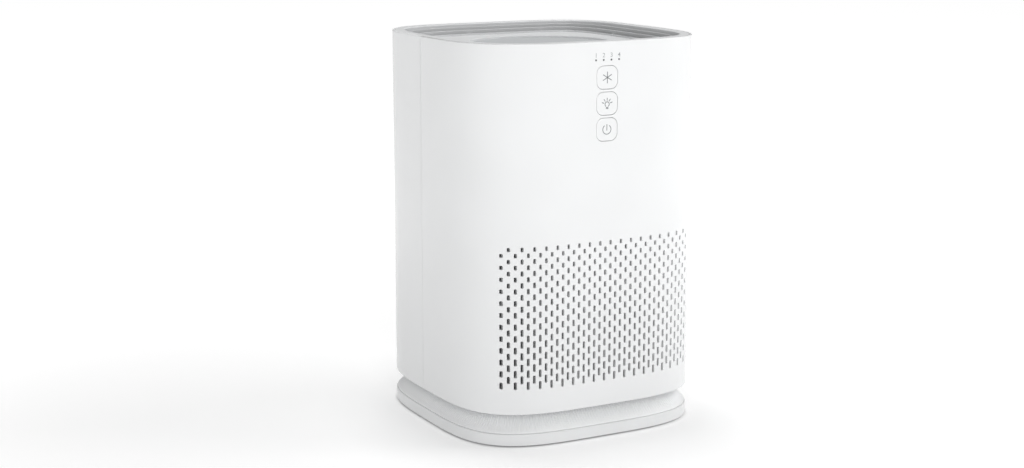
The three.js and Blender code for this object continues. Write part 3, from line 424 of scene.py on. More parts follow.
class CasingWall:
    """Half of the casing's wall, rolled out flat.

    The first plane coordinate is X over the perforated face and the length along the wall beyond it, so
    that openings in the face run straight along Y. side is -1 for the front half and 1 for the rear half.
    """

    def __init__(self, side, seam_y, face_half):
        self.side = side
        self.curves = []
        for inset in (0, WALL):
            turns = np.linspace(0, math.pi * 0.62, 4001)
            x, y, normal_x, normal_y = plan_at(turns - math.pi / 2, inset)
            far_enough = -y >= side * seam_y
            x, y, normal_x, normal_y = (values[far_enough] for values in (x, y, normal_x, normal_y))
            along = np.concatenate(([0], np.cumsum(np.hypot(np.diff(x), np.diff(y)))))
            beyond = along - np.interp(face_half, x[x <= x.max() * 0.9999], along[x <= x.max() * 0.9999])
            if inset == 0:
                self.side_length = beyond[-1]
            plane = np.where(beyond <= 0, x, face_half + beyond * self.side_length / beyond[-1])
            self.curves.append((plane, x, y, normal_x, normal_y))
        self.half_length = face_half + self.side_length

    def along(self, curve, plane_x):
        plane, x, y, normal_x, normal_y = self.curves[curve]
        sign, reach = np.sign(plane_x), np.abs(plane_x)
        at = [np.interp(reach, plane, values) for values in (x, y, normal_x, normal_y)]
        return sign * at[0], -self.side * at[1], sign * at[2], -self.side * at[3]

    def place(self, plane_points, depth):
        plane_x, z = plane_points[:, 0], plane_points[:, 1]
        outer_x, outer_y, normal_x, normal_y = self.along(0, plane_x)
        inner_x, inner_y, _, _ = self.along(1, plane_x)
        share = depth / WALL
        x, y = outer_x + share * (inner_x - outer_x), outer_y + share * (inner_y - outer_y)
        return np.column_stack((x, y, z)), np.column_stack((normal_x, normal_y, np.zeros_like(z)))


def rectangle(half_x, low_z, high_z, step_x, step_z, side_share):
    """A rectangle with points along its edges, anticlockwise. Its sides move inwards by a share only."""
    def outline(inset):
        left, right = -half_x + side_share * inset, half_x - side_share * inset
        low, high = low_z + inset, high_z - inset
        across = np.linspace(left, right, round(2 * half_x / step_x))
        up = np.linspace(low, high, round((high_z - low_z) / step_z))
        return np.array([*((x, low) for x in across[:-1]), *((right, z) for z in up[:-1]),
                         *((x, high) for x in across[:0:-1]), *((left, z) for z in up[:0:-1])])
    return outline


def grid_inside(half_x, low_z, high_z, step_x, step_z, keep_clear):
    """Even points over a rectangle, away from the boxes (x, z, half width, half height) to keep clear."""
    columns, rows = round(2 * half_x / step_x), round((high_z - low_z) / step_z)
    kept = []
    for x in np.linspace(-half_x, half_x, columns + 1)[1:-1]:
        for z in np.linspace(low_z, high_z, rows + 1)[1:-1]:
            if all(abs(x - cx) > hx or abs(z - cz) > hz for cx, cz, hx, hz in keep_clear):
                kept.append((x, z))
    return kept


def slot_places(pattern, staggered):
    """Each slot as its middle and its height, one column after another."""
    places = []
    for column in range(pattern["columns"]):
        from_edge = min(column, pattern["columns"] - 1 - column)
        share_kept = pattern["edge_shares"][from_edge] if from_edge < len(pattern["edge_shares"]) else 1
        x = (column - (pattern["columns"] - 1) / 2) * pattern["pitch_x"]
        lift = pattern["pitch_z"] / 2 if staggered and round(x / pattern["pitch_x"]) % 2 else 0
        for row in range(pattern["rows"]):
            share = row / (pattern["rows"] - 1)
            height = pattern["low_height"] + share * (pattern["high_height"] - pattern["low_height"])
            places.append((x, pattern["first_z"] + lift + row * pattern["pitch_z"], share_kept * height))
    return places


def casing_half(name, side, seam_y, pattern, staggered, material, extra_openings=(), extra_clear=()):
    slot_edge, rim_edge, seam_share, margin = 0.25 * MM, 0.9 * MM, 0.25, 1.4 * MM
    face_half = (pattern["columns"] - 1) / 2 * pattern["pitch_x"] + pattern["width"]
    wall = CasingWall(side, seam_y, face_half)
    places = slot_places(pattern, staggered)
    openings = [(slot(x, z, pattern["width"], height), slot_edge) for x, z, height in places]
    clear = [(x, z, pattern["width"] / 2 + margin, height / 2 + margin) for x, z, height in places]
    rim = rectangle(wall.half_length, body_bottom, rim_top, 2.5 * MM, 8 * MM, seam_share)
    inside = grid_inside(wall.half_length, body_bottom, rim_top, 4 * MM, 9 * MM, clear + list(extra_clear))
    built = moulded((rim, rim_edge), openings + list(extra_openings), wall.place, WALL, inside, side > 0)
    return make_moulded(name, built, material)


# ---- materials

class Surface:
    """A material whose shader is fed by small procedural textures in the frame's own metres."""

    def __init__(self, name, colour, roughness, metallic=0.0):
        self.material = bpy.data.materials.new(name)
        self.material.use_nodes = True
        self.nodes = self.material.node_tree.nodes
        self.links = self.material.node_tree.links
        self.shader = self.nodes["Principled BSDF"]
        self.shader.inputs["Metallic"].default_value = metallic
        self.colour = (*colour, 1)
        self.shader.inputs["Base Color"].default_value = self.colour
        self.shader.inputs["Roughness"].default_value = roughness
        self.roughness = roughness
        self.position = self.nodes.new("ShaderNodeTexCoord").outputs["Object"]
        self.height = None

    def stretched(self, scale):
        mapping = self.nodes.new("ShaderNodeMapping")
        mapping.inputs["Scale"].default_value = scale
        self.links.new(self.position, mapping.inputs["Vector"])
        return mapping.outputs["Vector"]

    def noise(self, size, detail=2.0, stretch=(1, 1, 1)):
        texture = self.nodes.new("ShaderNodeTexNoise")
        texture.inputs["Scale"].default_value = 1 / size
        texture.inputs["Detail"].default_value = detail
        self.links.new(self.stretched(stretch), texture.inputs["Vector"])
        return texture.outputs["Fac"]

    def cells(self, size):
        """The distance to the edges of small cells."""
        texture = self.nodes.new("ShaderNodeTexVoronoi")
        texture.feature = "DISTANCE_TO_EDGE"
        texture.inputs["Scale"].default_value = 1 / size
        self.links.new(self.position, texture.inputs["Vector"])
        return texture.outputs["Distance"]

    def bands(self, size, direction):
        texture = self.nodes.new("ShaderNodeTexWave")
        texture.bands_direction = direction
        texture.inputs["Scale"].default_value = 0.314 / size
        self.links.new(self.position, texture.inputs["Vector"])
        return texture.outputs["Fac"]

    def spread(self, factor, low, high, from_low=0.0, from_high=1.0, smooth=False):
        """Maps a factor's range to another one."""
        node = self.nodes.new("ShaderNodeMapRange")
        node.interpolation_type = "SMOOTHSTEP" if smooth else "LINEAR"
        limits = {"From Min": from_low, "From Max": from_high, "To Min": low, "To Max": high}
        for name, value in limits.items():
            node.inputs[name].default_value = value
        self.links.new(factor, node.inputs["Value"])
        return node.outputs["Result"]

    def maths(self, operation, first, second=0.0):
        """Combines two values, each of which is another node's output or a number."""
        node = self.nodes.new("ShaderNodeMath")
        node.operation = operation
        for socket, value in zip(node.inputs, (first, second)):
            if isinstance(value, (int, float)):
                socket.default_value = value
            else:
                self.links.new(value, socket)
        return node.outputs["Value"]

    def plan_distance(self, half_x, half_y, power):
        """|x / half_x| ** power + |y / half_y| ** power."""
        split = self.nodes.new("ShaderNodeSeparateXYZ")
        self.links.new(self.position, split.inputs["Vector"])
        terms = []
        for axis, half in (("X", half_x), ("Y", half_y)):
            share = self.maths("DIVIDE", self.maths("ABSOLUTE", split.outputs[axis]), half)
            terms.append(self.maths("POWER", share, power))
        return self.maths("ADD", *terms)

    def tint(self, factor, other, low=0.3, high=0.7):
        """Moves the colour towards another one where the factor is high."""
        mix = self.nodes.new("ShaderNodeMix")
        mix.data_type = "RGBA"
        previous = self.shader.inputs["Base Color"]
        if previous.is_linked:
            self.links.new(previous.links[0].from_socket, mix.inputs["A"])
        else:
            mix.inputs["A"].default_value = self.colour
        mix.inputs["B"].default_value = (*other, 1)
        self.links.new(self.spread(factor, 0, 1, low, high), mix.inputs["Factor"])
        self.links.new(mix.outputs["Result"], previous)
        return self

    def vary_roughness(self, factor, by):
        low, high = self.roughness - by, self.roughness + by
        self.links.new(self.spread(factor, low, high), self.shader.inputs["Roughness"])
        return self

    def bump(self, factor, distance, strength=1.0):
        node = self.nodes.new("ShaderNodeBump")
        node.inputs["Distance"].default_value = distance
        node.inputs["Strength"].default_value = strength
        self.links.new(factor, node.inputs["Height"])
        if self.height is not None:
            self.links.new(self.height, node.inputs["Normal"])
        self.height = node.outputs["Normal"]
        self.links.new(self.height, self.shader.inputs["Normal"])
        return self


def scaled(colour, share):
    return tuple(value * share for value in colour)


def moulded_plastic(name, colour, roughness, grain=0.35 * MM, grain_height=0.004 * MM):
    """Injection-moulded plastic: a faint tone drift, a fine grain and an uneven gloss."""
    surface = Surface(name, colour, roughness)
    drift = surface.noise(60 * MM, 1.0)
    surface.tint(drift, scaled(colour, 0.975))
    surface.vary_roughness(surface.noise(9 * MM, 3.0), 0.04)
    surface.bump(surface.noise(grain, 2.0), grain_height, 0.6)
    return surface


def casing_plastic():
    """Glossy white ABS with the shallow waves of a moulded skin."""
    surface = moulded_plastic("casing_plastic", (0.86, 0.868, 0.872), 0.24, 0.5 * MM, 0.0012 * MM)
    surface.bump(surface.noise(30 * MM, 0.0), 0.02 * MM, 0.35)
    return surface.material


def ring_plastic():
    """Milky light-guide plastic that lets some light through."""
    surface = moulded_plastic("light_ring_plastic", (0.84, 0.85, 0.855), 0.42, 0.6 * MM, 0.002 * MM)
    surface.shader.inputs["Subsurface Weight"].default_value = 0.25
    surface.shader.inputs["Subsurface Radius"].default_value = (0.003, 0.003, 0.0032)
    surface.shader.inputs["Emission Color"].default_value = (1, 1, 1, 1)
    surface.shader.inputs["Emission Strength"].default_value = 0.13
    return surface.material


def satin_grey():
    return moulded_plastic("outlet_plastic", (0.78, 0.788, 0.795), 0.42, 0.3 * MM, 0.004 * MM).material


def blade_grey():
    """The same plastic as the rim, with a finer gloss, made a darker grey as painted shade for the slots
    between the blades.
    """
    return moulded_plastic("outlet_blade_painted_shade_plastic", (0.64, 0.648, 0.655), 0.3, 0.3 * MM, 0.002 * MM).material


def disc_grey():
    """A finely spark-eroded face."""
    surface = moulded_plastic("disc_plastic", (0.56, 0.575, 0.585), 0.5, 0.25 * MM, 0.012 * MM)
    return surface.tint(surface.noise(0.5 * MM, 2.0), (0.50, 0.515, 0.525), 0.45, 0.75).material


def small_mark(name, colour, other, roughness=0.55, grain=0.3 * MM, gloss_drift=0.05):
    """Ink or a tiny lens: a fine mottle and an uneven gloss."""
    surface = Surface(name, colour, roughness)
    surface.tint(surface.noise(grain), other)
    return surface.vary_roughness(surface.noise(1 * MM), gloss_drift).material


def rubber():
    surface = Surface("foot_rubber", (0.03, 0.03, 0.032), 0.85)
    surface.tint(surface.noise(2 * MM, 4.0), (0.055, 0.055, 0.058))
    return surface.bump(surface.noise(0.4 * MM, 3.0), 0.03 * MM).material


def sleeve_mesh():
    """A fine woven net over pale fibre: upright and level threads, with the sunk gaps between them darker
    as painted shade.
    """
    surface = Surface("sleeve_net", (0.62, 0.63, 0.635), 0.9)
    level, slant = surface.bands(0.9 * MM, "Z"), surface.bands(0.9 * MM, "DIAGONAL")
    sunk_gaps_and_painted_shade = surface.maths("MULTIPLY", level, slant)
    # The sunk gaps get a darker colour: painted shade.
    surface.tint(sunk_gaps_and_painted_shade, (0.34, 0.35, 0.355), 0.25, 0.8)
    return surface.bump(sunk_gaps_and_painted_shade, -0.15 * MM).material


def filter_paper():
    surface = Surface("filter_paper", (0.80, 0.79, 0.75), 0.95)
    surface.tint(surface.noise(0.5 * MM, 5.0), (0.70, 0.69, 0.65))
    return surface.bump(surface.noise(0.25 * MM, 4.0), 0.04 * MM).material


def carbon_granules():
    surface = Surface("carbon_granules", (0.02, 0.02, 0.022), 0.7)
    granules_and_painted_gap_shade = surface.cells(1.8 * MM)
    # The cell edges stay darker and the middles lighter: painted shade in the sunk gaps between the
    # granules.
    surface.tint(granules_and_painted_gap_shade, (0.06, 0.06, 0.063), 0.05, 0.5)
    return surface.bump(granules_and_painted_gap_shade, 0.5 * MM).material


def closed_foam():
    surface = Surface("gasket_foam", (0.045, 0.045, 0.048), 0.95)
    pores = surface.cells(0.7 * MM)
    surface.tint(pores, (0.02, 0.02, 0.021), 0.0, 0.3)
    return surface.bump(pores, 0.12 * MM).material


def turned_metal(name, colour, roughness):
    """Metal with fine tool marks round its upright axis."""
    surface = Surface(name, colour, roughness, 1.0)
    marks = surface.noise(1.5 * MM, 4.0, (1, 1, 12))
    surface.tint(marks, scaled(colour, 0.8))
    surface.vary_roughness(marks, 0.1)
    return surface.bump(marks, 0.01 * MM).material


def solder_mask():
    """Green board lacquer over copper tracks."""
    surface = Surface("circuit_board", (0.018, 0.12, 0.055), 0.35)
    tracks = surface.cells(3.5 * MM)
    surface.tint(tracks, (0.03, 0.2, 0.09), 0.04, 0.09)
    return surface.bump(tracks, 0.03 * MM).material


def lead_jacket():
    surface = Surface("lead_jacket", (0.02, 0.02, 0.021), 0.5)
    surface.tint(surface.noise(3 * MM), (0.035, 0.035, 0.036))
    return surface.bump(surface.noise(0.5 * MM), 0.02 * MM).material


def floor_paint():
    """A plain pale studio floor that glows softly, more so far away, and not at all under the body, which
    paints a dark shadow in the gap under the base.
    """
    surface = Surface("studio_floor", (0.9, 0.9, 0.9), 0.9)
    surface.shader.inputs["Specular IOR Level"].default_value = 0.1
    surface.shader.inputs["Emission Color"].default_value = (1, 1, 1, 1)
    body_distance = surface.plan_distance(half_width, half_depth, PLAN_POWER)
    # No glow under the body: a painted shadow under the base plate.
    glow_outside_painted_shadow = surface.spread(body_distance, 0, 1, 0.9, 1.1, smooth=True)
    glow = surface.spread(surface.plan_distance(1, 1, 2), 0.24, 0.72, 0.0, 0.9, smooth=True)
    strength = surface.maths("MULTIPLY", glow_outside_painted_shadow, glow)
    surface.links.new(strength, surface.shader.inputs["Emission Strength"])
    return surface.tint(surface.noise(0.4), (0.89, 0.89, 0.89)).material


def inner_plastic(name, colour, roughness, grain=0.4 * MM, grain_height=0.01 * MM):
    return moulded_plastic(name, colour, roughness, grain, grain_height).material


WHITE = casing_plastic()
RING_WHITE = ring_plastic()
SATIN = satin_grey()
PAINTED_SHADE_BLADE_GREY = blade_grey()
DISC = disc_grey()
INK = small_mark("symbol_ink", (0.2, 0.21, 0.22), (0.24, 0.25, 0.26))
PALE_INK = small_mark("numeral_ink", (0.36, 0.37, 0.38), (0.4, 0.41, 0.42))
LENS = small_mark("lamp_plastic", (0.13, 0.135, 0.14), (0.16, 0.165, 0.17), 0.2, 0.4 * MM, 0.04)
RUBBER = rubber()
NET = sleeve_mesh()
PAPER = filter_paper()
CARBON = carbon_granules()
FOAM = closed_foam()
STEEL = turned_metal("plated_steel", (0.62, 0.63, 0.65), 0.3)
MOTOR_CAN = turned_metal("motor_casting", (0.5, 0.51, 0.53), 0.42)
BOARD = solder_mask()
LEAD = lead_jacket()
FRAME_GREY = inner_plastic("frame_plastic", (0.30, 0.31, 0.32), 0.55)
DUCT_GREY = inner_plastic("duct_plastic", (0.07, 0.073, 0.078), 0.5)
ROTOR_BLACK = inner_plastic("rotor_plastic", (0.04, 0.041, 0.044), 0.4, grain_height=0.008 * MM)
PART_BLACK = inner_plastic("black_plastic", (0.02, 0.02, 0.022), 0.45, grain=0.3 * MM)
CAP_WHITE = inner_plastic("filter_cap_plastic", (0.66, 0.67, 0.68), 0.55)


# ---- the casing

def key_middle(name):
    return middle(name, 0, 2)[1]


def key_half_sizes():
    """Half the width and half the height of a key's face."""
    low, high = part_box(KEYS[0])
    return half_across(KEYS[0]) - KEY_FLANGE["side"], (high.z - low.z) / 2


def lamp_places():
    return [middle(f"speed_light_pipe_{number}", 0, 2) for number in range(1, LAMP_COUNT + 1)]


def front_shell():
    """The front half with its perforations, the key windows and the holes for the lamps."""
    seam_y = shell_high.y + SEAM_LIP
    openings, clear = [], []
    half_x, half_z = key_half_sizes()
    for name in KEYS:
        window = rounded_box(half_x + GAP, half_z + GAP, KEY_CORNER + GAP, (0, key_middle(name)), 10)
        openings.append((window, 0.35 * MM))
        clear.append((0, key_middle(name), half_x + 2 * MM, half_z + 1.5 * MM))
    for x, z in lamp_places():
        openings.append((circle(LAMP_RADIUS + LAMP_CLEARANCE, (x, z), 24), 0.12 * MM))
        clear.append((x, z, 2.2 * MM, 2.2 * MM))
    piece = casing_half("front_shell_skin", -1, seam_y, FRONT_SLOT, True, WHITE, openings, clear)
    return settle(piece, "base", "casing", "front_shell")


def rear_cover():
    piece = casing_half("rear_cover_skin", 1, cover_low.y - SEAM_LIP, REAR_SLOT, False, WHITE)
    return settle(piece, "rear_cover", "casing", "rear_cover")


def magnet_pads():
    """The blocks inside the casing's sides that hold the magnets and the steel keepers."""
    wall_overlap, side_cover, back_cover = 0.6 * MM, 1.2 * MM, 2.4 * MM
    for node, body, outward in (("keeper_plate", "base", -1), ("cover_magnet", "rear_cover", 1)):
        for side in ("left", "right"):
            low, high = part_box(f"{node}_{side}")
            sign = 1 if low.x > 0 else -1
            outer = sign * (half_width - WALL + wall_overlap)
            inner = (low.x if sign > 0 else high.x) - sign * side_cover
            near = high.y - 0.4 * MM if outward < 0 else low.y + 0.4 * MM
            far = (low.y - back_cover) if outward < 0 else (high.y + back_cover)
            pad = block((min(inner, outer), min(near, far), low.z - side_cover),
                        (max(inner, outer), max(near, far), high.z + side_cover), 0.4 * MM)
            make(f"{node}_{side}_pad", pad, WHITE, body, "casing")


# ---- the base

def base_plate():
    """The plate under the body: a soft-edged rim with the inlet's hole, round a floor with screw holes."""
    rim_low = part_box("base_plate")[0].z
    outline = plan(320)
    rim_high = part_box("light_ring")[0].z - GAP
    rim = upright(outline, [(inset, z) for inset, z in rounded([
        (0, rim_low, 0.7 * MM), (0, rim_high, 0.9 * MM), (BASE["rim"], rim_high), (BASE["rim"], rim_low)],
        0.3 * MM)], closed=True)
    piece = make("base_plate_rim", rim, WHITE, "base", "casing", "base_plate")
    cutter = backward(circle(BASE["inlet_hole"], middle("dc_inlet", 0, 2), 48), [
        (0, half_depth - 2 * BASE["rim"]), (0, half_depth - 0.5 * MM),
        (-0.6 * MM, half_depth + 0.1 * MM), (-0.6 * MM, half_depth + 4 * MM)])
    cut_out(piece, cutter)
    screws, pads = at_corners("base_screw"), at_corners("foot")
    screw_hole = half_across(screws[0]) + BASE["screw_room"]
    floor_holes = [(circle(screw_hole, middle(node), 32), 0.3 * MM) for node in screws]
    floor_holes += [(circle(half_across(pads[0]) + GAP, middle(node), 48), 0.3 * MM) for node in pads]
    clear = [(*middle(node), 11 * MM, 11 * MM) for node in screws + pads]
    far_x, far_y = 0.7 * half_width, 0.7 * half_depth
    inside = grid_inside(far_x, -far_y, far_y, 15 * MM, 15 * MM, clear)
    floor = moulded((lambda inset: outline(BASE["rim"] - 0.3 * MM + inset), 0.05 * MM), floor_holes,
                    flat_place(rim_low + 0.1 * MM, -1), BASE["floor"], inside, mirrored=True)
    settle(make_moulded("base_plate_floor", floor, WHITE), "base", "casing", "base_plate")


def at_corners(kind):
    """The names of the four nodes of a kind that stand at the base's corners."""
    return [f"{kind}_{end}_{side}" for end in ("front", "rear") for side in ("left", "right")]


def cut_out(piece, cutter_shape):
    """Cuts a shape out of a piece for good, and removes the cutter."""
    cutter = placed("cutter", shape_mesh("cutter", cutter_shape))
    modifier = piece.modifiers.new("cut", "BOOLEAN")
    modifier.object = cutter
    modifier.solver = "EXACT"
    piece.modifiers.move(len(piece.modifiers) - 1, 0)
    result = bpy.data.meshes.new_from_object(piece.evaluated_get(bpy.context.evaluated_depsgraph_get()))
    piece.modifiers.clear()
    piece.data = result
    bpy.data.objects.remove(cutter)
    smooth(piece)


def light_ring():
    """The sloping ring between the base and the body, with fine flutes up its slope."""
    low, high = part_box("light_ring")
    foot, top, wall = LIGHT_RING["foot_inset"], LIGHT_RING["top_inset"], LIGHT_RING["wall"]
    lip_z = low.z + LIGHT_RING["foot_lip"]
    length = 2 * math.pi * (half_width + half_depth) / 2 * 1.16
    flutes = round(length / LIGHT_RING["flute_pitch"])
    steps_each = 6
    count = flutes * steps_each
    turns = even_turns(count)
    wave = 0.5 - 0.5 * np.cos(2 * math.pi * np.arange(count) / steps_each)
    climb = 8
    rings = []

    def ring(inset, z, depth):
        x, y, normal_x, normal_y = plan_at(turns, inset)
        sunk = depth * wave
        return np.column_stack((x - sunk * normal_x, y - sunk * normal_y, z - sunk))

    for step in range(climb + 1):
        share = step / climb
        fade = min(1, 5 * share, 5 * (1 - share))
        rings.append(ring(foot + share * (top - foot), lip_z + share * (high.z - lip_z),
                          LIGHT_RING["flute_depth"] * fade))
    rings.append(ring(top + wall, high.z, 0))
    rings.append(ring(foot + wall, lip_z, 0))
    rings.append(ring(foot + wall, low.z, 0))
    rings.append(ring(foot + 0.2 * MM, low.z, 0))
    rings.append(ring(foot, low.z + 0.2 * MM, 0))
    make("light_ring_fluted", through(rings, closed=True), RING_WHITE, "base", "diffuser", "light_ring",
         sharp_degrees=60)


def feet():
    """Each rubber foot: a soft-edged pad with two round ridges under it."""
    radius = half_across("foot_front_left")
    for node in at_corners("foot"):
        low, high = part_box(node)
        pad = upright(circle(radius, middle(node), 64), soft_layers(low.z, high.z, 0.6 * MM, 0.1 * MM))
        ridges = [foot_ridge(node, low.z, ridge) for ridge in (2.5 * MM, 5 * MM)]
        make(f"{node}_pad", merged(pad, *ridges), RUBBER, "base", "rubber", node)


def foot_ridge(node, ground, radius):
    half, bottom, top = 0.35 * MM, ground + 0.02 * MM, ground + 0.5 * MM
    corners = [(radius + half, bottom), (radius + half, top), (radius - half, top), (radius - half, bottom)]
    return lathe_ring(corners, 0.1 * MM, 64, middle(node))


# ---- the control panel

def keys():
    """Each key: a pad with soft edges, the flange behind it and the stem that meets its switch."""
    sunk = 0.12 * MM
    half_x, half_z = key_half_sizes()
    for name in KEYS:
        low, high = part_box(name)
        z = key_middle(name)
        front = low.y + sunk
        flange_y = panel_y + WALL + GAP
        cap = backward(rounded_box(half_x, half_z, KEY_CORNER, (0, z), 12),
                       soft_layers(front, flange_y + 0.2 * MM, 0.45 * MM, 0.05 * MM, 4))
        flange_outline = rounded_box(high.x, KEY_FLANGE["half_height"], 1 * MM, (0, z), 4)
        flange = backward(flange_outline,
                          soft_layers(flange_y, flange_y + KEY_FLANGE["thickness"], 0.2 * MM))
        stem = backward(circle(KEY_STEM_RADIUS, (0, z), 32), soft_layers(flange_y, high.y, 0.3 * MM))
        make(f"{name}_cap", merged(cap, flange, stem), WHITE, name, "keys", name)
        draw_symbol(name, z, front)


def around(centre, radius, turn):
    """The point at a turn round a middle."""
    return centre[0] + radius * math.cos(turn), centre[1] + radius * math.sin(turn)


def stroke(x0, z0, x1, z1, width):
    """A flat line with round ends, as an outline in the X-Z plane."""
    angle = math.atan2(z1 - z0, x1 - x0)
    points = []
    for end, turn in (((x1, z1), angle - math.pi / 2), ((x0, z0), angle + math.pi / 2)):
        points += [around(end, width / 2, turn + step * math.pi / 6) for step in range(7)]
    return points


def arc_band(radius, width, first_degrees, last_degrees, centre=(0, 0), steps=28):
    """A flat band along an arc, as an outline in the X-Z plane."""
    sweep = last_degrees - first_degrees
    turns = [math.radians(first_degrees + sweep * step / steps) for step in range(steps + 1)]
    outer = [around(centre, radius + width / 2, turn) for turn in turns]
    inner = [around(centre, radius - width / 2, turn) for turn in reversed(turns)]
    return outer + inner


def spokes(turns, inner, outer, width, lift=0.0):
    """Strokes that point away from a middle, one for each turn in degrees."""
    middle_point = (0, lift)
    return [stroke(*around(middle_point, inner, math.radians(turn)),
                   *around(middle_point, outer, math.radians(turn)), width) for turn in turns]


def fan_symbol(width):
    """Six plain arms."""
    return spokes(range(30, 390, 60), 0, 4.5 * MM, width)


def light_symbol(width):
    """A bulb over its cap, with five rays."""
    bulb, lift, neck = 2.0 * MM, -0.6 * MM, 0.9 * MM
    cap_levels = (-3.2 * MM, -4.1 * MM)
    lines = [arc_band(bulb, width, -60, 240, (0, lift))]
    lines += [stroke(-neck, z, neck, z, width) for z in cap_levels]
    return lines + spokes((18, 54, 90, 126, 162), 3.2 * MM, 5.0 * MM, width, lift)


def power_symbol(width):
    """A broken ring with an upright bar in its gap."""
    return [arc_band(3.9 * MM, width, 125, 415), stroke(0, -0.6 * MM, 0, 4.1 * MM, width)]


def flat_marks(name, outlines, x, z, front, proud, material, body, slot_name):
    """Thin closed plates in the outlines' shapes, proud of the face they are printed on."""
    plates = []
    for outline in outlines:
        rings = [[(x + px, y, z + pz) for px, pz in outline] for y in (front - proud, front + 0.1 * MM)]
        plates.append(through(rings))
    return make(name, merged(*plates), material, body, slot_name)


def draw_symbol(name, z, front):
    symbols = {"fan_button": fan_symbol, "light_button": light_symbol, "power_button": power_symbol}
    flat_marks(f"{name}_symbol", symbols[name](SYMBOL_STROKE), 0, z, front, 0.03 * MM, INK, name, "keys")


def lamps():
    for number, (x, z) in enumerate(lamp_places(), 1):
        node = f"speed_light_pipe_{number}"
        low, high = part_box(node)
        layers = soft_layers(low.y + 0.05 * MM, high.y, 0.3 * MM, 0.1 * MM, 4)
        lens = backward(circle(LAMP_RADIUS, (x, z), 32), layers)
        make(f"{node}_lens", lens, LENS, "base", "lamp_lens", node)


def numerals():
    """The speed numbers above the lamps, as thin raised figures."""
    for number, (x, z) in enumerate(lamp_places(), 1):
        text = bpy.data.curves.new(f"numeral_{number}_text", "FONT")
        text.body = str(number)
        text.size = NUMERAL_SIZE
        text.align_x, text.align_y = "CENTER", "CENTER"
        text.extrude = 0.04 * MM
        text.offset = 0.02 * MM
        holder = bpy.data.objects.new("numeral_holder", text)
        mesh = bpy.data.meshes.new_from_object(holder)
        bpy.data.objects.remove(holder)
        bpy.data.curves.remove(text)
        mesh.materials.clear()
        figure = new_object(f"numeral_{number}", mesh, PALE_INK)
        for vertex in mesh.vertices:
            across, up, out = vertex.co
            vertex.co = (x + across, panel_y + 0.01 * MM - out, z + NUMERAL_RISE + up)
        settle(figure, "base", "casing")


# ---- the outlet

def blade_insets():
    rim, slot_width, blade = OUTLET["rim"], OUTLET["slot"], OUTLET["blade"]
    return [rim + i * slot_width + (i - 1) * blade for i in range(1, OUTLET["blades"] + 1)]


def outlet():
    """The rim land with its skirt, the stepped ring blades and the ribs under them."""
    outline = plan(320)
    skirt_bottom = rim_top - OUTLET["rim_depth"] - OUTLET["blade_depth"]
    land_inset, rim = WALL + OUTLET["seam"], OUTLET["rim"]
    land_bottom = rim_top - OUTLET["rim_depth"]
    skirt = rim - OUTLET["skirt"]
    land = upright(outline, rounded([
        (land_inset, land_bottom), (land_inset, rim_top, 0.2 * MM), (rim, rim_top, 0.9 * MM),
        (rim, skirt_bottom), (skirt, skirt_bottom), (skirt, land_bottom)], 0.3 * MM), closed=True)
    blades = []
    for index, inset in enumerate(blade_insets(), 1):
        extra_drop = OUTLET["last_drop"] if index == OUTLET["blades"] else 0
        top = rim_top - index * OUTLET["step_down"] - extra_drop
        far = inset + OUTLET["blade"]
        blades.append(upright(outline, rounded([
            (inset, skirt_bottom, 0.2 * MM), (inset, top, 0.45 * MM),
            (far, top, 0.45 * MM), (far, skirt_bottom, 0.2 * MM)], 0.2 * MM), closed=True))
    ribs = [rib_bar(index, skirt_bottom) for index in range(OUTLET["ribs"])]
    make("outlet_land", land, SATIN, "base", "grille", "outlet_grille")
    # The blades take the darker grey, a painted shade for the slots between them.
    make("outlet_rings", merged(*blades, *ribs), PAINTED_SHADE_BLADE_GREY, "base", "grille", "outlet_grille")


def rib_bar(index, bottom):
    degrees = OUTLET["rib_turn"] + 360 * index / OUTLET["ribs"]
    turn = np.array([math.radians(degrees)])
    x, y, normal_x, normal_y = plan_at(turn, 0)
    reach = float(np.hypot(x, y)[0])
    lean = float((normal_x * np.cos(turn) + normal_y * np.sin(turn))[0])
    inner = reach - (blade_insets()[-1] + 0.4 * MM) / lean
    outer = reach - (OUTLET["rim"] - 0.5 * MM) / lean
    half = OUTLET["rib_half"]
    bar = block((inner, -half, bottom), (outer, half, bottom + OUTLET["rib_height"]), 0.35 * MM)
    return turned_about_z(bar, degrees)


def outlet_deck():
    """The sunk deck inside the last blade, with its round opening, and the seat under the disc."""
    top = rim_top - DECK["drop"]
    outline = plan(320)
    inset = blade_insets()[-1] + 0.3 * MM
    hole = (circle(DECK["hole"], (0, 0), 128), 0.5 * MM)
    half = half_width - inset
    grid = grid_inside(half * 0.93, -half * 0.93, half * 0.93, 9 * MM, 9 * MM, [])
    spare = [(x, y) for x, y in grid if math.hypot(x, y) > DECK["hole"] + 4 * MM
             and abs(x / half) ** PLAN_POWER + abs(y / half) ** PLAN_POWER < 0.78]
    rim = (lambda extra: outline(inset + extra), 0.2 * MM)
    built = moulded(rim, [hole], flat_place(top), DECK["thickness"], spare)
    settle(make_moulded("outlet_deck", built, SATIN), "base", "grille", "outlet_grille")
    seat_top = top - DECK["disc_drop"] - DECK["thickness"] - GAP
    seat_bottom, wall_top = seat_top - DECK["thickness"], top - 0.5 * MM
    outer, inner, wall = DECK["hole"] + DECK["lip"], DECK["hole"] - DECK["ledge"], DECK["hole"] + 0.02 * MM
    seat = lathe_ring([(outer, seat_bottom), (outer, wall_top), (wall, wall_top), (wall, seat_top),
                       (inner, seat_top), (inner, seat_bottom)], 0.2 * MM, 128)
    make("outlet_disc_seat", seat, SATIN, "base", "grille")


def centre_disc():
    low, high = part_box("centre_disc")
    outline = circle(half_across("centre_disc"), (0, 0), 160)
    plate = upright(outline, soft_layers(high.z, low.z, 0.6 * MM, 0.2 * MM))
    make("centre_disc_plate", plate, DISC, "base", "disc", "centre_disc")


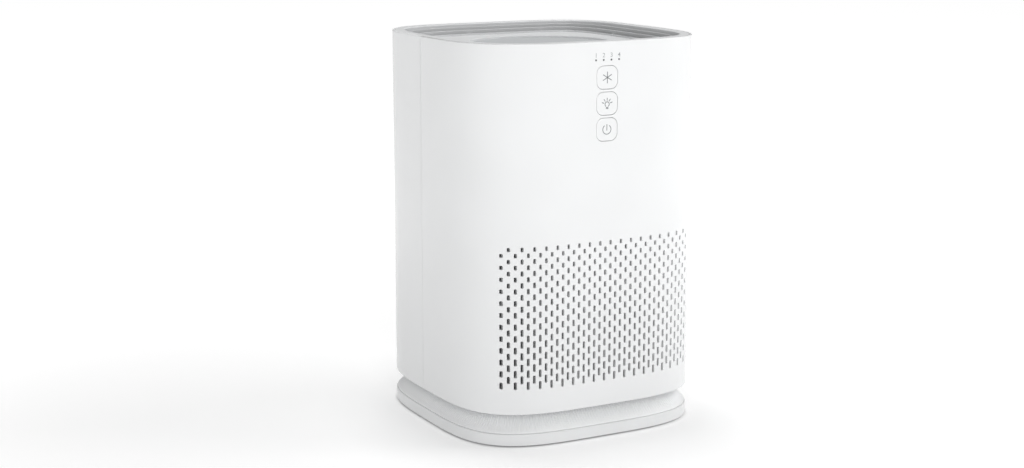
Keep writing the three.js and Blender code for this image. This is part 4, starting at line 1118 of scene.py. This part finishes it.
# ---- the filter cartridge

FILTER_CAP = {"plate": 3 * MM, "rim": 2 * MM, "eye_inset": 6 * MM}
FILTER_TAB = {"reach": 4 * MM, "half": 7 * MM, "lift": 2 * MM, "height": 2.5 * MM, "turns": (30, 150, 270)}
GASKET_WIDTH = 12 * MM


def filter_parts():
    filter_bottom_cap()
    filter_top_cap()
    prefilter_sleeve()
    filter_gasket()


def filter_bottom_cap():
    """A dish with three locking tabs."""
    low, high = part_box("filter_bottom_cap")
    radius, rim = half_across("filter_top_cap"), FILTER_CAP["rim"]
    middle_radius, floor_top = 0.01 * MM, low.z + FILTER_CAP["plate"]
    section = rounded([(middle_radius, low.z, 0), (radius, low.z, 1 * MM), (radius, high.z, 0.6 * MM),
                       (radius - rim, high.z, 0.6 * MM), (radius - rim, floor_top, 0.8 * MM),
                       (middle_radius, floor_top, 0)], 0)
    dish = upright(circle(0, (0, 0), 128), [(-r, z) for r, z in section])
    half, tab_low = FILTER_TAB["half"], low.z + FILTER_TAB["lift"]
    tab = block((radius - rim, -half, tab_low),
                (radius + FILTER_TAB["reach"], half, tab_low + FILTER_TAB["height"]), 0.5 * MM)
    tabs = [turned_about_z(tab, turn) for turn in FILTER_TAB["turns"]]
    make("filter_bottom_cap_dish", merged(dish, *tabs), CAP_WHITE, "filter", "filter_cap",
         "filter_bottom_cap")


def filter_top_cap():
    """A ring with a rim turned down outside."""
    low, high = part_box("filter_top_cap")
    radius, eye = half_across("filter_top_cap"), half_across("carbon_core") - FILTER_CAP["eye_inset"]
    under, inner = high.z - FILTER_CAP["plate"], radius - FILTER_CAP["rim"]
    ring = lathe_ring([(radius, low.z), (radius, high.z, 0.8 * MM), (eye, high.z, 0.8 * MM),
                       (eye, under), (inner, under), (inner, low.z)], 0.3 * MM, 128)
    make("filter_top_cap_ring", ring, CAP_WHITE, "filter", "filter_cap", "filter_top_cap")


def prefilter_sleeve():
    """A sleeve pulled gently between its caps, with soft upright folds."""
    low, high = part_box("prefilter_sleeve")
    outer, inner = half_across("prefilter_sleeve"), 0.985 * (half_across("prefilter_sleeve") - 1.2 * MM)
    folds, points_each, rows = 36, 6, 14
    turns = np.linspace(0, 2 * math.pi, folds * points_each, endpoint=False)

    def ring(radius, z):
        return np.column_stack((radius * np.cos(turns), radius * np.sin(turns), np.full(len(turns), z)))

    rings = []
    for row in range(rows + 1):
        share = row / rows
        waist = 0.9 * MM * math.sin(math.pi * share)
        fold = 0.25 * MM * math.sin(math.pi * share) ** 0.5 * np.cos(folds * turns)
        rings.append(ring(outer - 0.3 * MM - waist + fold, low.z + share * (high.z - low.z)))
    rings += [ring(inner, high.z), ring(inner, low.z)]
    make("prefilter_sleeve_net", through(rings, closed=True), NET, "filter", "sleeve_mesh",
         "prefilter_sleeve", sharp_degrees=70)


def filter_gasket():
    low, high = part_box("filter_gasket")
    outer = half_across("filter_gasket")
    inner = outer - GASKET_WIDTH
    gasket = lathe_ring([(outer, low.z), (outer, high.z), (inner, high.z), (inner, low.z)], 1.4 * MM, 128)
    piece = make("filter_gasket_ring", gasket, FOAM, "filter", "foam", "filter_gasket", sharp_degrees=70)


# ---- the pieces inside the casing

def body_and_slot(node):
    """The body that a node rides on, and the record's slot that it takes its finish from."""
    record = frame["record"]
    body = next(name for name, nodes in record["behaviour"]["bodies"].items() if node in nodes)
    slot_name = next(part["material_slot"] for part in record["subparts"] if part["node"] == node)
    return body, slot_name


def joined_copy(node):
    """The shape of a node's solid, with the corners of its triangles joined."""
    solid = frame["nodes"][node].data
    mesh = bpy.data.meshes.new(f"{node}_finished")
    mesh.from_pydata([tuple(corner.co) for corner in solid.vertices], [],
                     [tuple(face.vertices) for face in solid.polygons])
    work = bmesh.new()
    work.from_mesh(mesh)
    bmesh.ops.remove_doubles(work, verts=work.verts, dist=0.001 * MM)
    work.to_mesh(mesh)
    work.free()
    mesh.shade_smooth()
    return mesh


def finish_inner(material, edge, *nodes):
    """Puts a copy with smooth round faces and softened edges in place of each solid."""
    for node in nodes:
        piece = new_object(f"{node}_finished", joined_copy(node), material)
        bevel = piece.modifiers.new("soft_edges", "BEVEL")
        bevel.width = edge
        bevel.segments = 2
        bevel.limit_method = "ANGLE"
        bevel.angle_limit = math.radians(38)
        piece.modifiers.new("even_normals", "WEIGHTED_NORMAL")
        settle(piece, *body_and_slot(node), node)


def each(kind, *endings):
    return [f"{kind}_{ending}" for ending in endings]


def inner_pieces():
    finish_inner(FRAME_GREY, 0.3 * MM, "chassis", "fan_deck")
    finish_inner(DUCT_GREY, 0.3 * MM, "fan_housing", "motor_pod")
    finish_inner(ROTOR_BLACK, 0.25 * MM, "impeller")
    finish_inner(MOTOR_CAN, 0.4 * MM, "fan_motor")
    finish_inner(STEEL, 0.2 * MM, "hub_nut", "motor_shaft", *each("motor_bearing", "lower", "upper"),
                 *each("motor_screw", 1, 2, 3), *at_corners("base_screw"),
                 *each("keeper_plate", "left", "right"), *each("cover_magnet", "left", "right"),
                 *each("board_screw", "left", "right"))
    finish_inner(BOARD, 0.1 * MM, "led_ring_board", "main_board", "control_board")
    finish_inner(PART_BLACK, 0.25 * MM, "dc_inlet", "interlock_switch",
                 "fan_switch", "light_switch", "power_switch", "filter_pull_tab")
    finish_inner(LEAD, 0.1 * MM, "control_lead", "motor_lead")
    finish_inner(PAPER, 0.1 * MM, "pleated_filter")
    finish_inner(CARBON, 0.4 * MM, "carbon_core")


# ---- floor, light and camera

VIEW_TURN = math.radians(28.3)
VIEW_TILT = math.radians(11.35)
VIEW_DISTANCE = 1.554
AIM_ASIDE = 24.2 * MM
AIM_HEIGHT = 155.5 * MM
LENS_LENGTH = 61.6


def stage_floor():
    mesh = bpy.data.meshes.new("floor")
    half = 12.0
    corners = [(-half, -half, 0), (half, -half, 0), (half, half, 0), (-half, half, 0)]
    mesh.from_pydata(corners, [], [(0, 1, 2, 3)])
    new_object("floor", mesh, floor_paint())


def placed_facing(name, data, location, ahead):
    holder = placed(name, data)
    holder.location = location
    holder.rotation_euler = ahead.to_track_quat("-Z", "Y").to_euler()
    return holder


def camera():
    """Looks at the body from its front left corner, a little from above."""
    across = Vector((math.cos(VIEW_TURN), -math.sin(VIEW_TURN), 0))
    ahead = Vector((math.sin(VIEW_TURN) * math.cos(VIEW_TILT), math.cos(VIEW_TURN) * math.cos(VIEW_TILT),
                    -math.sin(VIEW_TILT)))
    aim = Vector((0, 0, AIM_HEIGHT)) - AIM_ASIDE * across
    data = bpy.data.cameras.new("camera")
    data.lens = LENS_LENGTH
    data.sensor_width = 36
    bpy.context.scene.camera = placed_facing("camera", data, aim - VIEW_DISTANCE * ahead, ahead)


def area_light(name, turn_degrees, tilt_degrees, distance, size, power):
    """A square soft box that faces the body, at a turn from the front and a tilt above the floor."""
    turn, tilt = math.radians(turn_degrees), math.radians(tilt_degrees)
    away = Vector((math.sin(turn) * math.cos(tilt), -math.cos(turn) * math.cos(tilt), math.sin(tilt)))
    data = bpy.data.lights.new(name, "AREA")
    data.size = size
    data.energy = power
    placed_facing(name, data, Vector((0, 0, rim_top / 2)) + distance * away, -away)


def studio():
    world = bpy.data.worlds.new("studio")
    world.use_nodes = True
    nodes, links = world.node_tree.nodes, world.node_tree.links
    background = nodes["Background"]
    background.inputs["Color"].default_value = (1, 1, 1, 1)
    ray = nodes.new("ShaderNodeLightPath")
    strength = nodes.new("ShaderNodeMapRange")
    strength.inputs["To Min"].default_value = 0.3
    strength.inputs["To Max"].default_value = 1.05
    links.new(ray.outputs["Is Camera Ray"], strength.inputs["Value"])
    links.new(strength.outputs["Result"], background.inputs["Strength"])
    bpy.context.scene.world = world
    bpy.context.scene.view_settings.view_transform = "Standard"
    area_light("right_light", 70, 30, 2.2, 1.4, 18)
    area_light("front_light", -26, 22, 2.4, 0.9, 15)
    area_light("top_light", 180, 80, 2.0, 0.7, 15)


# ---- everything

stage_floor()
camera()
studio()
front_shell()
rear_cover()
magnet_pads()
base_plate()
light_ring()
feet()
keys()
lamps()
numerals()
outlet()
outlet_deck()
centre_disc()
filter_parts()
inner_pieces()
